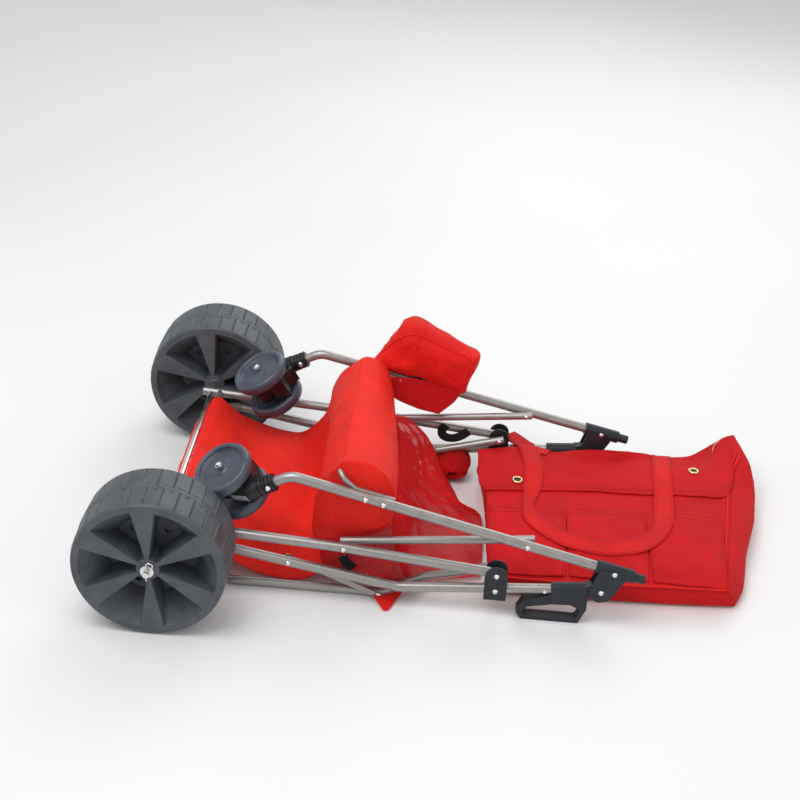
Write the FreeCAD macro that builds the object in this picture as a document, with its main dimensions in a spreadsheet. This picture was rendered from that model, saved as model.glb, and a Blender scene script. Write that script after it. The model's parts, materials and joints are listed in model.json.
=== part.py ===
"""Folding beach cart with two wide rear wheels, two twin casters, a fabric sling and a tote bag.

The cart is modelled folded flat, lying on its handle tube.  X runs along the cart from the rear
wheels to the hinges and the tote, Y runs across it and Z is up.  The origin is on the floor under
the middle of the bounding box.  Sizes are millimetres.
"""
import FreeCAD, Part
import math
import os
from FreeCAD import Matrix, Rotation, Vector

# Driving dimensions.  Stations (names ending in _x) are measured from the rear axle.
DIMENSIONS = {
    "wheel_radius": 149, "wheel_width": 131, "wheel_wall": 4, "half_track": 358,
    "hub_radius": 27, "rim_depth": 20, "rim_ring": 30, "bore_clearance": 0.05,
    "axle_radius": 6, "axle_overhang": 15, "washer_radius": 13, "washer_thickness": 2,
    "tube_radius": 10, "tube_wall": 1.5, "slim_radius": 9, "bar_radius": 6,
    "frame_half": 264, "caster_half": 252, "inner_half": 240,
    "hinge_x": 862, "hinge_z": 79, "socket_x": 883, "bracket_x": 656,
    "bracket_z": 97, "bracket_low_z": 61, "link_rear_x": 353, "link_rear_z": 127,
    "link_front_x": 710, "front_end_x": 918, "front_slope": 0.2363, "front_ref_x": 426,
    "front_ref_z": 233, "stem_x": 203, "stem_top_x": 246, "stem_z": 253, "stem_angle": 28,
    "handle_bar_x": 35, "handle_bar_z": 121, "handle_bend_x": 462, "handle_bend_z": 44,
    "rear_bar_x": 20, "rear_bar_z": 148, "rack_left_x": 100, "rack_rise_x": 432,
    "brace_x": 245, "brace_z": 84, "brace_low_x": 425, "rivet_radius": 3, "rivet_head": 5.5,
    "rivet_head_height": 2.5, "plate_thickness": 3, "plate_half": 22, "caster_radius": 61,
    "caster_tread": 25, "caster_gap": 50, "caster_drop": 80, "caster_trail": 40,
    "caster_axle_radius": 4, "sling_half": 222, "sling_thickness": 2.5, "crease_x": 358,
    "crease_z": 17, "sling_bar_x": 336, "sling_bar_z": 278, "tote_left_x": 618,
    "tote_right_x": 1218, "tote_height": 84, "tote_wall": 3, "grip_radius": 15,
    "grommet_radius": 12, "grommet_hole": 7, "button_x": 753, "button_travel": 3,
    "bar_rivet_rear_x": 391, "bar_rivet_front_x": 426, "hoop_rear_x": 480, "hoop_front_x": 516,
    "link_radius": 8, "swivel_right": 19, "swivel_left": 12, "clip_wire": 1.4,
    "pouch_inner_y": 228, "pouch_depth": 62, "handle_end_x": 800,
}
SIDES = (("right", -1), ("left", 1))

doc = FreeCAD.newDocument("beach_cart")
sheet = doc.addObject("Spreadsheet::Sheet", "Sheet")
for row, (alias, value) in enumerate(DIMENSIONS.items(), 1):
    sheet.set("A%d" % row, alias)
    sheet.set("B%d" % row, str(value))
    sheet.setAlias("B%d" % row, alias)
doc.recompute()
NODES = {}


def dim(alias):
    """One driving dimension, read back from the sheet."""
    return float(sheet.get(alias))


ORIGIN_X = (dim("tote_right_x") - dim("wheel_radius")) / 2


def at(station, y, z):
    """A point from its station, measured from the rear axle."""
    return Vector(station - ORIGIN_X, y, z)


def bind(thing, **expressions):
    """Bind properties of an object to formulas of the sheet's aliases."""
    for prop, formula in expressions.items():
        thing.setExpression(prop, formula)


def keep(node, thing):
    """Name a finished sub-part."""
    thing.Label = node
    NODES[node] = thing
    return thing


def turned(direction):
    """Rotation that takes +Z to a direction."""
    return Rotation(Vector(0, 0, 1), direction)


def cylinder(name, radius, length, base, direction):
    """Cylinder whose radius and height are formulas, from a base point along a direction."""
    thing = doc.addObject("Part::Cylinder", name)
    bind(thing, Radius=radius, Height=length)
    thing.Placement = FreeCAD.Placement(base, turned(direction))
    return thing


def across(name, radius, length, station, y, z):
    """Cylinder along Y, centred on y."""
    thing = cylinder(name, radius, length, at(station, y, z), Vector(0, 1, 0))
    doc.recompute()
    thing.Placement.Base = at(station, y - thing.Height.Value / 2, z)
    return thing


def fused(name, things):
    """Union of several objects."""
    thing = doc.addObject("Part::MultiFuse", name)
    thing.Shapes = things
    return thing


def cut(name, base, tool):
    """Base less tool."""
    thing = doc.addObject("Part::Cut", name)
    thing.Base = base
    thing.Tool = tool
    return thing


def grouped(name, things):
    """Several separate solids kept as one node."""
    thing = doc.addObject("Part::Compound", name)
    thing.Links = things
    return thing


def filleted_path(points, radius):
    """Wire through points, each inner corner rounded by a tangent arc."""
    edges = []
    start = points[0]
    for before, corner, after in zip(points, points[1:], points[2:]):
        back = (before - corner).normalize()
        ahead = (after - corner).normalize()
        half_turn = (math.pi - back.getAngle(ahead)) / 2
        reach = radius * math.tan(half_turn)
        first = corner + back * reach
        last = corner + ahead * reach
        bisector = (back + ahead).normalize()
        middle = corner + bisector * (radius / math.cos(half_turn) - radius)
        edges.append(Part.LineSegment(start, first).toShape())
        edges.append(Part.Arc(first, middle, last).toShape())
        start = last
    edges.append(Part.LineSegment(start, points[-1]).toShape())
    return Part.Wire(edges)


def swept(name, points, bend, radius):
    """Round rod along a path; the radius is a formula."""
    path = doc.addObject("Part::Feature", name + "_path")
    path.Shape = filleted_path(points, bend)
    section = doc.addObject("Part::Circle", name + "_section")
    bind(section, Radius=radius)
    section.Placement = FreeCAD.Placement(points[0], turned(points[1] - points[0]))
    sweep = doc.addObject("Part::Sweep", name)
    sweep.Sections = [section]
    sweep.Spine = (path, ["Edge%d" % (index + 1) for index in range(len(path.Shape.Edges))])
    sweep.Solid = True
    return sweep


def tube(name, points, bend, radius, holes=()):
    """Hollow tube along a path, with round holes cut through it."""
    outer = swept(name + "_outer", points, bend, radius)
    inner = swept(name + "_inner", points, bend, radius + " - Sheet.tube_wall")
    tools = [inner] + list(holes)
    return cut(name, outer, fused(name + "_removed", tools))


def rivet_hole(name, station, y, z, radius="Sheet.rivet_radius + Sheet.bore_clearance"):
    """Cutting tool for a rivet's hole, long enough to pass the frame's side."""
    return across(name, radius, "40", station, y, z)


def rivet(name, station, z, inner_y, outer_y, sign):
    """Rivet between two half-widths, with a domed head at each end."""
    low = min(sign * inner_y, sign * outer_y)
    high = max(sign * inner_y, sign * outer_y)
    shank = cylinder(name + "_shank", "Sheet.rivet_radius", str(high - low), at(station, low, z), Vector(0, 1, 0))
    heads = []
    for end, (y, way) in enumerate(((low, -1), (high, 1))):
        head = doc.addObject("Part::Cone", "%s_head%d" % (name, end))
        bind(head, Radius1="Sheet.rivet_head", Radius2="Sheet.rivet_head * 0.6", Height="Sheet.rivet_head_height")
        head.Placement = FreeCAD.Placement(at(station, y, z), turned(Vector(0, way, 0)))
        heads.append(head)
    return fused(name, [shank] + heads)


def plate(name, outline, y, thickness, corner=0):
    """Flat plate: a PartDesign pad of an XZ outline, its near face at y."""
    body = doc.addObject("PartDesign::Body", name + "_body")
    sketch = body.newObject("Sketcher::SketchObject", name + "_sketch")
    plane = [feature for feature in body.Origin.OriginFeatures if feature.Role == "XZ_Plane"][0]
    sketch.AttachmentSupport = [(plane, "")]
    sketch.MapMode = "FlatFace"
    corners = [Vector(station - ORIGIN_X, z, 0) for station, z in outline]
    for first, last in zip(corners, corners[1:] + corners[:1]):
        sketch.addGeometry(Part.LineSegment(first, last), False)
    pad = body.newObject("PartDesign::Pad", name + "_pad")
    pad.Profile = sketch
    bind(pad, Length=thickness)
    doc.recompute()
    top = pad
    if corner:
        top = body.newObject("PartDesign::Fillet", name + "_fillet")
        edges = []
        for index, edge in enumerate(pad.Shape.Edges):
            along = edge.tangentAt(edge.FirstParameter)
            if abs(along.y) > 0.99:
                edges.append("Edge%d" % (index + 1))
        top.Base = (pad, edges)
        top.Radius = corner
    doc.recompute()
    body.Placement.Base = Vector(0, y - body.Shape.BoundBox.YMin, 0)
    return body


def slab(name, outline, half_width):
    """Sheet-like solid: an XZ outline drawn across the cart, centred on Y = 0."""
    return plate(name, outline, -half_width, str(2 * half_width))


def front_z(station):
    """Height of the front tube's straight length."""
    return dim("front_ref_z") - dim("front_slope") * (station - dim("front_ref_x"))


def front_half(station):
    """Half-width of the front tubes, which close in a little towards the casters."""
    share = (station - dim("stem_top_x")) / (dim("socket_x") - dim("stem_top_x"))
    return dim("caster_half") + (dim("frame_half") - dim("caster_half")) * max(share, 0)


STEM = Vector(-math.cos(math.radians(dim("stem_angle"))), 0, -math.sin(math.radians(dim("stem_angle"))))
STEM_NORMAL = Vector(STEM.z, 0, -STEM.x)
TUBE = dim("tube_radius")
RIVET_OUT = dim("frame_half") + TUBE
PLATE = dim("plate_thickness")
PLATE_IN = dim("frame_half") - TUBE - 1 - PLATE
PLATE_OUT = dim("frame_half") + TUBE + 1
BAR_RIVETS = [dim("bar_rivet_rear_x"), dim("bar_rivet_front_x")]
HOOP_RIVETS = [dim("hoop_rear_x"), dim("hoop_front_x")]


# ---------------------------------------------------------------- handle frame
def make_handle_frame():
    """U-shaped handle tube, its foam grip, and the rack tube braced under it."""
    half = dim("frame_half")
    slope = (dim("hinge_z") - dim("handle_bend_z")) / (dim("hinge_x") - dim("handle_bend_x"))
    handle_end_x = dim("handle_end_x")
    end_z = dim("handle_bend_z") + slope * (handle_end_x - dim("handle_bend_x"))
    bar = (dim("handle_bar_x"), dim("handle_bar_z"))
    bend = (dim("handle_bend_x"), dim("handle_bend_z"))
    stations = [(handle_end_x, -half, end_z), (bend[0], -half, bend[1]), (bar[0], -half, bar[1]),
                (bar[0], half, bar[1]), (bend[0], half, bend[1]), (handle_end_x, half, end_z)]
    button_x = dim("button_x")
    button_z = dim("handle_bend_z") + slope * (button_x - dim("handle_bend_x"))
    holes = []
    for side, sign in SIDES:
        y = sign * half
        holes.append(rivet_hole("brace_hole_" + side, dim("brace_x"), y, dim("brace_z")))
        holes.append(rivet_hole("low_hole_" + side, dim("bracket_x"), y, dim("bracket_low_z")))
        holes.append(rivet_hole("button_hole_" + side, button_x, sign * (half + 15), button_z,
                                "Sheet.rivet_radius + 1 + Sheet.bore_clearance"))
    keep("handle_tube", tube("handle_tube", [at(*point) for point in stations], 40, "Sheet.tube_radius", holes))

    sleeve = across("grip_outer", "Sheet.grip_radius", "2 * Sheet.frame_half - 150", bar[0], 0, bar[1])
    core = across("grip_bore", "Sheet.tube_radius + Sheet.bore_clearance", "2 * Sheet.frame_half", bar[0], 0, bar[1])
    keep("foam_grip", cut("foam_grip", sleeve, core))

    inner = dim("inner_half")
    slim = dim("slim_radius")
    rack_end = (dim("bracket_x") + 10, dim("bracket_z") + 3)
    side_run = [(rack_end[0], rack_end[1]), (515, 57), (dim("rack_rise_x"), slim), (dim("rack_left_x"), slim)]
    route = [at(x, -inner, z) for x, z in side_run] + [at(x, inner, z) for x, z in reversed(side_run)]
    holes = []
    for side, sign in SIDES:
        holes.append(rivet_hole("rack_hole_" + side, dim("bracket_x"), sign * inner, dim("bracket_z")))
        holes.append(rivet_hole("rack_low_hole_" + side, dim("brace_low_x"), sign * inner, slim))
    keep("rack_tube", tube("rack_tube", route, 35, "Sheet.slim_radius", holes))

    strap_half = 6
    rivets = []
    for side, sign in SIDES:
        low = (dim("brace_low_x"), slim)
        high = (dim("brace_x"), dim("brace_z"))
        run = Vector(low[0] - high[0], low[1] - high[1], 0)
        along = Vector(run).normalize() * 9
        over = Vector(-run.y, run.x, 0).normalize() * strap_half
        outline = [(high[0] - along.x + over.x, high[1] - along.y + over.y),
                   (low[0] + along.x + over.x, low[1] + along.y + over.y),
                   (low[0] + along.x - over.x, low[1] + along.y - over.y),
                   (high[0] - along.x - over.x, high[1] - along.y - over.y)]
        strap_y = min(sign * PLATE_IN, sign * (PLATE_IN + PLATE))
        strap = plate("brace_" + side, outline, strap_y, "Sheet.plate_thickness", 5)
        tools = fused("brace_holes_" + side, [rivet_hole("strap_high_" + side, high[0], sign * 250, high[1]),
                                              rivet_hole("strap_low_" + side, low[0], sign * 250, low[1])])
        keep("rack_brace_" + side, cut("rack_brace_" + side, strap, tools))

        top = dim("bracket_z")
        reach = dim("plate_half")
        middle = dim("bracket_x")
        arc = [(middle + reach * math.cos(turn), top + reach * math.sin(turn))
               for turn in [math.radians(angle) for angle in range(0, 181, 20)]]
        outline = [(middle + reach, dim("bracket_low_z") - 20)] + arc + [(middle - reach, dim("bracket_low_z") - 20)]
        cheeks = []
        for layer, y_low in (("outer", PLATE_OUT), ("inner", PLATE_IN)):
            low_face = y_low if sign > 0 else -y_low - PLATE
            cheeks.append(plate("cheek_%s_%s" % (layer, side), outline, low_face, "Sheet.plate_thickness"))
        pair = grouped("cheeks_" + side, cheeks)
        tools = fused("cheek_holes_" + side, [rivet_hole("cheek_top_" + side, middle, sign * half, top),
                                              rivet_hole("cheek_low_" + side, middle, sign * half,
                                                         dim("bracket_low_z"))])
        keep("frame_bracket_" + side, cut("frame_bracket_" + side, pair, tools))

        plate_face = PLATE_OUT + PLATE
        rivets.append(rivet("brace_rivet_" + side, *high, PLATE_IN - 0.02, RIVET_OUT + 0.02, sign))
        rivets.append(rivet("brace_low_rivet_" + side, *low, inner - slim - 0.02, PLATE_IN + PLATE + 0.02, sign))
        rivets.append(rivet("bracket_low_rivet_" + side, middle, dim("bracket_low_z"), PLATE_IN - 0.02,
                            plate_face + 0.02, sign))
        rivets.append(rivet("bracket_rivet_" + side, middle, top, inner - slim - 0.02, plate_face + 0.02, sign))
        rivets.append(rivet("hinge_bolt_" + side, dim("hinge_x"), dim("hinge_z"), PLATE_IN - 0.02,
                            plate_face + 0.02, sign))
        keep("snap_button_" + side, across("snap_button_" + side, "Sheet.rivet_radius + 1",
                                           "Sheet.button_travel + 4", button_x, sign * (half + TUBE - 2), button_z))
    keep("handle_rivets", grouped("handle_rivets", rivets))


def make_grip_loops():
    """Moulded sleeve on each end of the handle tube, with its hinge eye and hand loop."""
    half = dim("frame_half")
    slope = (dim("hinge_z") - dim("handle_bend_z")) / (dim("hinge_x") - dim("handle_bend_x"))
    run = Vector(1, 0, slope).normalize()
    loop_outer = [(699, 17), (712, 0), (824, 0), (838, 34), (838, 68), (768, 66), (712, 42)]
    loop_inner = [(712, 18), (720, 8), (817, 8), (827, 32), (806, 43), (770, 41), (722, 31)]
    for side, sign in SIDES:
        y = sign * half
        start = at(765, y, dim("handle_bend_z") + slope * (765 - dim("handle_bend_x")))
        sleeve = cylinder("sleeve_" + side, "Sheet.tube_radius + 4", "68", start, run)
        ring = plate("loop_" + side, loop_outer, y - 12, "24", 6)
        hollow = plate("loop_hole_" + side, loop_inner, y - 15, "30", 3)
        ear = [(825, 62), (862, 64), (862, 94), (825, 88)]
        web = plate("web_" + side, ear, y - 9.5, "19")
        eye = across("eye_" + side, "15", "19", dim("hinge_x"), y, dim("hinge_z"))
        solid = fused("loop_solid_" + side, [sleeve, ring, web, eye])
        bore_start = start - run * 60
        bore = cylinder("sleeve_bore_" + side, "Sheet.tube_radius + Sheet.bore_clearance", "97", bore_start, run)
        pin_hole = rivet_hole("eye_hole_" + side, dim("hinge_x"), y, dim("hinge_z"))
        tools = fused("loop_tools_" + side, [hollow, bore, pin_hole])
        keep("grip_loop_" + side, cut("grip_loop_" + side, solid, tools))


# ---------------------------------------------------------------- front frame
def make_front_frame():
    """Front tubes from the caster stems to the hinges, with what is riveted to them."""
    rivets = []
    stem_z = math.tan(math.radians(dim("stem_angle")))
    offset = dim("stem_z") - stem_z * dim("stem_x")
    bend_x = (dim("front_ref_z") + dim("front_slope") * dim("front_ref_x") - offset) / (stem_z + dim("front_slope"))
    bar_half = front_half(400) - TUBE - dim("bar_radius") - 0.5
    for side, sign in SIDES:
        stem = at(dim("stem_x"), sign * dim("caster_half"), dim("stem_z"))
        bottom = stem + STEM * 14
        corner = at(bend_x, sign * dim("caster_half"), front_z(bend_x))
        end = at(dim("front_end_x"), sign * front_half(dim("front_end_x")), front_z(dim("front_end_x")))
        spots = [*BAR_RIVETS, dim("link_front_x"), dim("socket_x")]
        if side == "left":
            spots += HOOP_RIVETS
        holes = [rivet_hole("front_hole_%s_%d" % (side, x), x, sign * front_half(x), front_z(x)) for x in spots]
        holes.append(rivet_hole("stem_hole_" + side, dim("stem_x"), sign * dim("caster_half"), dim("stem_z")))
        keep("front_tube_" + side, tube("front_tube_" + side, [bottom, corner, end], 45, "Sheet.tube_radius", holes))

        collar = fused("collar_ribs_" + side, [
            cylinder("collar_%s_%d" % (side, rib), "Sheet.tube_radius + %g" % radius, str(length),
                     stem - STEM * start, STEM)
            for rib, (radius, start, length) in enumerate(((5, 14, 26), (8, 12, 4), (8, 4, 4), (8, -4, 4), (8, -10, 8)))])
        tools = fused("collar_tools_" + side, [
            cylinder("collar_bore_" + side, "Sheet.tube_radius + Sheet.bore_clearance", "60", stem - STEM * 40, STEM),
            rivet_hole("collar_hole_" + side, dim("stem_x"), sign * dim("caster_half"), dim("stem_z"))])
        keep("stem_collar_" + side, cut("stem_collar_" + side, collar, tools))
        rivets.append(rivet("collar_rivet_" + side, dim("stem_x"), dim("stem_z"), dim("caster_half") - TUBE - 8.1,
                            dim("caster_half") + TUBE + 8.1, sign))

        socket_run = (end - corner).normalize()
        half = dim("frame_half")
        socket_start = end - socket_run * 74
        socket = cylinder("socket_" + side, "Sheet.tube_radius + 3.5", "78", socket_start, socket_run)
        ears = []
        top_x, top_z = dim("socket_x"), front_z(dim("socket_x"))
        low_x, low_z = dim("hinge_x"), dim("hinge_z")
        outline = [(low_x - 23, low_z + 8), (low_x - 20, low_z - 14), (low_x - 4, low_z - 23), (low_x + 16, low_z - 18),
                   (low_x + 26, low_z), (top_x + 22, top_z - 14), (top_x + 8, top_z + 4), (top_x - 28, top_z + 10)]
        for layer, y_low in (("outer", PLATE_OUT), ("inner", PLATE_IN)):
            low_face = y_low if sign > 0 else -y_low - PLATE
            ears.append(plate("ear_%s_%s" % (layer, side), outline, low_face, "Sheet.plate_thickness", 3))
        web_outline = [(top_x - 26, top_z - 3), (top_x - 22, top_z - 16), (top_x + 18, top_z - 22),
                       (top_x + 20, top_z - 8)]
        web = plate("ear_web_" + side, web_outline, sign * half - 14, "28")
        solid = fused("socket_solid_" + side, [socket, web] + ears)
        tools = fused("socket_tools_" + side, [
            cylinder("socket_bore_" + side, "Sheet.tube_radius + Sheet.bore_clearance", "120",
                     socket_start - socket_run * 10, socket_run),
            rivet_hole("socket_hole_" + side, top_x, sign * half, top_z),
            rivet_hole("ear_hole_" + side, low_x, sign * half, low_z)])
        keep("hinge_socket_" + side, cut("hinge_socket_" + side, solid, tools))
        rivets.append(rivet("socket_rivet_" + side, top_x, top_z, PLATE_IN - 0.02, PLATE_OUT + PLATE + 0.02, sign))
        keep("end_plug_" + side, fused("end_plug_" + side, [
            cylinder("plug_core_" + side, "Sheet.tube_radius - Sheet.tube_wall - Sheet.bore_clearance", "20",
                     end - socket_run * 15, socket_run),
            cylinder("plug_head_" + side, "Sheet.tube_radius - 0.5", "26", end + socket_run * 0.05, socket_run)]))

        for x in BAR_RIVETS:
            rivets.append(rivet("bar_rivet_%s_%d" % (side, x), x, front_z(x), bar_half - dim("bar_radius") - 0.2,
                                front_half(x) + TUBE + 0.1, sign))
        rivets.append(rivet("link_rivet_" + side, dim("link_front_x"), front_z(dim("link_front_x")),
                            dim("inner_half") - dim("link_radius") - 0.2, front_half(dim("link_front_x")) + TUBE + 0.1, sign))

    top = (dim("sling_bar_x"), dim("sling_bar_z"))
    leg = [(446, front_z(446) + 1), (370, front_z(370) + 2), top]
    route = [at(x, -bar_half, z) for x, z in leg] + [at(x, bar_half, z) for x, z in reversed(leg)]
    bar_holes = [rivet_hole("bar_hole_%s_%d" % (side, x), x, sign * bar_half, front_z(x))
                 for side, sign in SIDES for x in BAR_RIVETS]
    keep("sling_bar", tube("sling_bar", route, 26, "Sheet.bar_radius", bar_holes))

    rear_x, front_x = HOOP_RIVETS
    hoop_y = front_half((rear_x + front_x) / 2) + TUBE + 4.5
    hoop = [at(rear_x, hoop_y, front_z(rear_x) - 6), at(rear_x - 12, hoop_y, 292),
            at(front_x + 12, hoop_y, 279), at(front_x, hoop_y, front_z(front_x) - 6)]
    hoop_holes = [rivet_hole("hoop_hole_%d" % x, x, hoop_y, front_z(x)) for x in HOOP_RIVETS]
    hoop_solid = swept("hoop_solid", hoop, 12, "4")
    keep("pouch_hoop", cut("pouch_hoop", hoop_solid, fused("hoop_holes", hoop_holes)))
    for x in HOOP_RIVETS:
        rivets.append(rivet("hoop_rivet_%d" % x, x, front_z(x), front_half(x) - TUBE - 0.1, hoop_y + 4.1, 1))
    keep("front_rivets", grouped("front_rivets", rivets))

    pouch_outline = [(368, 264), (428, 364), (456, 376), (590, 306), (576, 216)]
    pouch_solid = plate("pouch_solid", pouch_outline, dim("pouch_inner_y"), "Sheet.pouch_depth", 8)
    room = swept("hoop_room", hoop, 12, "4.5")
    keep("side_pouch", cut("side_pouch", pouch_solid, room))


def make_casters():
    """Twin-wheel casters.  Each pair of wheels turns on one bolt through its swivelling housing."""
    for side, sign in SIDES:
        turn = math.radians(dim("swivel_" + side))
        across_y = Vector(0, 1, 0)
        axle = STEM_NORMAL * math.cos(turn) - across_y * math.sin(turn)
        trail = (STEM_NORMAL * math.sin(turn) + across_y * math.cos(turn)) * -sign
        stem = at(dim("stem_x"), sign * dim("caster_half"), dim("stem_z"))
        centre = stem + STEM * dim("caster_drop") + trail * dim("caster_trail")
        gap = dim("caster_gap")
        tread = dim("caster_tread")
        block = doc.addObject("Part::Box", "housing_block_" + side)
        block.Length = 58
        block.Width = 34
        bind(block, Height="Sheet.caster_gap - 4")
        frame = Matrix(trail.x, STEM.x, axle.x, 0, trail.y, STEM.y, axle.y, 0,
                       trail.z, STEM.z, axle.z, 0, 0, 0, 0, 1)
        if frame.determinant() < 0:
            frame = Matrix(trail.x, STEM.x, -axle.x, 0, trail.y, STEM.y, -axle.y, 0,
                           trail.z, STEM.z, -axle.z, 0, 0, 0, 0, 1)
        placement = FreeCAD.Placement(frame)
        local = Vector(-22, -46, -(gap - 4) / 2)
        placement.Base = centre + placement.Rotation.multVec(local)
        block.Placement = placement
        hub = cylinder("housing_hub_" + side, "17", "Sheet.caster_gap - 4", centre - axle * ((gap - 4) / 2), axle)
        top = cylinder("housing_top_" + side, "Sheet.tube_radius + 9", "24", stem + STEM * 19, STEM)
        solid = fused("housing_solid_" + side, [block, hub, top])
        bore = cylinder("housing_bore_" + side, "Sheet.caster_axle_radius + Sheet.bore_clearance", "120",
                        centre - axle * 60, axle)
        keep("caster_housing_" + side, cut("caster_housing_" + side, solid, bore))

        span = gap + 2 * tread + 6
        bolt = cylinder("caster_bolt_" + side, "Sheet.caster_axle_radius", str(span), centre - axle * (span / 2), axle)
        nuts = []
        for end, way in ((0, -1), (1, 1)):
            base = centre + axle * way * (span / 2 - 2)
            nuts.append(cylinder("caster_nut_%s_%d" % (side, end), "7", "5", base, axle * way))
            dome = doc.addObject("Part::Sphere", "caster_dome_%s_%d" % (side, end))
            dome.Radius = 5.5
            dome.Placement.Base = base + axle * way * 5
            nuts.append(dome)
        keep("caster_bolt_" + side, fused("caster_bolt_set_" + side, [bolt] + nuts))

        for name, way in (("upper", 1), ("lower", -1)):
            label = "caster_wheel_%s_%s" % (name, side)
            base = centre + axle * way * (gap / 2)
            out = axle * way
            tyre = cylinder(label + "_tyre", "Sheet.caster_radius", "Sheet.caster_tread", base, out)
            edges = doc.addObject("Part::Fillet", label + "_round")
            doc.recompute()
            edges.Base = tyre
            edges.Edges = [(index + 1, 7.0, 7.0) for index, edge in enumerate(tyre.Shape.Edges)
                           if abs(edge.Length - 2 * math.pi * dim("caster_radius")) < 1]
            dish = cylinder(label + "_dish", "Sheet.caster_radius - 12", "7", base + out * (tread - 6), out)
            back = cylinder(label + "_back", "Sheet.caster_radius - 12", "13", base - out, out)
            boss = cylinder(label + "_boss", "12", "Sheet.caster_tread", base, out)
            hole = cylinder(label + "_hole", "Sheet.caster_axle_radius + Sheet.bore_clearance", "60",
                            base - out * 10, out)
            hollow = cut(label + "_hollow", edges, fused(label + "_hollows", [dish, back]))
            solid = fused(label + "_solid", [hollow, boss])
            keep(label, cut(label, solid, hole))


# ---------------------------------------------------------------- rear frame
def make_rear_frame():
    """Rear leg tubes, their cross tube and the wheel axle."""
    half = dim("frame_half")
    rivets = []
    washers = []
    clips = []
    axle_half = dim("half_track") + dim("wheel_width") / 2 + dim("axle_overhang")
    clip_half = axle_half - 6
    for side, sign in SIDES:
        y = sign * half
        points = [at(-18, y, 150.3), at(dim("link_rear_x"), y, dim("link_rear_z")),
                  at(dim("bracket_x") + 12, y, dim("bracket_z") - 1.2)]
        holes = [rivet_hole("rear_pin_" + side, dim("link_rear_x"), y, dim("link_rear_z")),
                 rivet_hole("rear_top_" + side, dim("bracket_x"), y, dim("bracket_z")),
                 across("rear_axle_hole_" + side, "Sheet.axle_radius + Sheet.bore_clearance", "40", 0, y,
                        dim("wheel_radius")),
                 across("cross_room_" + side, "Sheet.slim_radius + Sheet.bore_clearance", "30",
                        dim("rear_bar_x"), sign * (half - 15), dim("rear_bar_z"))]
        keep("rear_tube_" + side, tube("rear_tube_" + side, points, 400, "Sheet.tube_radius", holes))
        rivets.append(rivet("link_pin_" + side, dim("link_rear_x"), dim("link_rear_z"), half - TUBE - 0.1,
                            half + TUBE + 0.1, sign))

        washer_y = sign * (dim("half_track") + dim("wheel_width") / 2 + 1.3)
        disc = across("washer_disc_" + side, "Sheet.washer_radius", "Sheet.washer_thickness", 0, washer_y,
                      dim("wheel_radius"))
        hole = across("washer_hole_" + side, "Sheet.axle_radius + Sheet.bore_clearance", "12", 0, washer_y,
                      dim("wheel_radius"))
        washers.append(cut("washer_" + side, disc, hole))

        clip_y = sign * clip_half
        centre_z = dim("wheel_radius")
        clip = [at(0, clip_y, centre_z - 16), at(0, clip_y, centre_z + 26), at(14, clip_y, centre_z + 22),
                at(10, clip_y, centre_z + 9)]
        clips.append(swept("clip_wire_" + side, clip, 5, "Sheet.clip_wire"))
    axle = across("axle_rod", "Sheet.axle_radius", str(2 * axle_half), 0, 0, dim("wheel_radius"))
    clip_holes = fused("clip_holes", [
        cylinder("clip_hole_" + side, "1.5", "30", at(0, sign * clip_half, dim("wheel_radius") - 15), Vector(0, 0, 1))
        for side, sign in SIDES])
    keep("rear_axle", cut("rear_axle", axle, clip_holes))
    cross = across("cross_solid", "Sheet.slim_radius", "2 * Sheet.frame_half - 6", dim("rear_bar_x"), 0, dim("rear_bar_z"))
    cross_bore = across("cross_bore", "Sheet.slim_radius - Sheet.tube_wall", "2 * Sheet.frame_half", dim("rear_bar_x"),
                        0, dim("rear_bar_z"))
    keep("rear_cross_tube", cut("rear_cross_tube", cross, cross_bore))
    keep("axle_washers", grouped("axle_washers", washers))
    keep("axle_clips", grouped("axle_clips", clips))
    keep("rear_rivets", grouped("rear_rivets", rivets))


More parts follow.
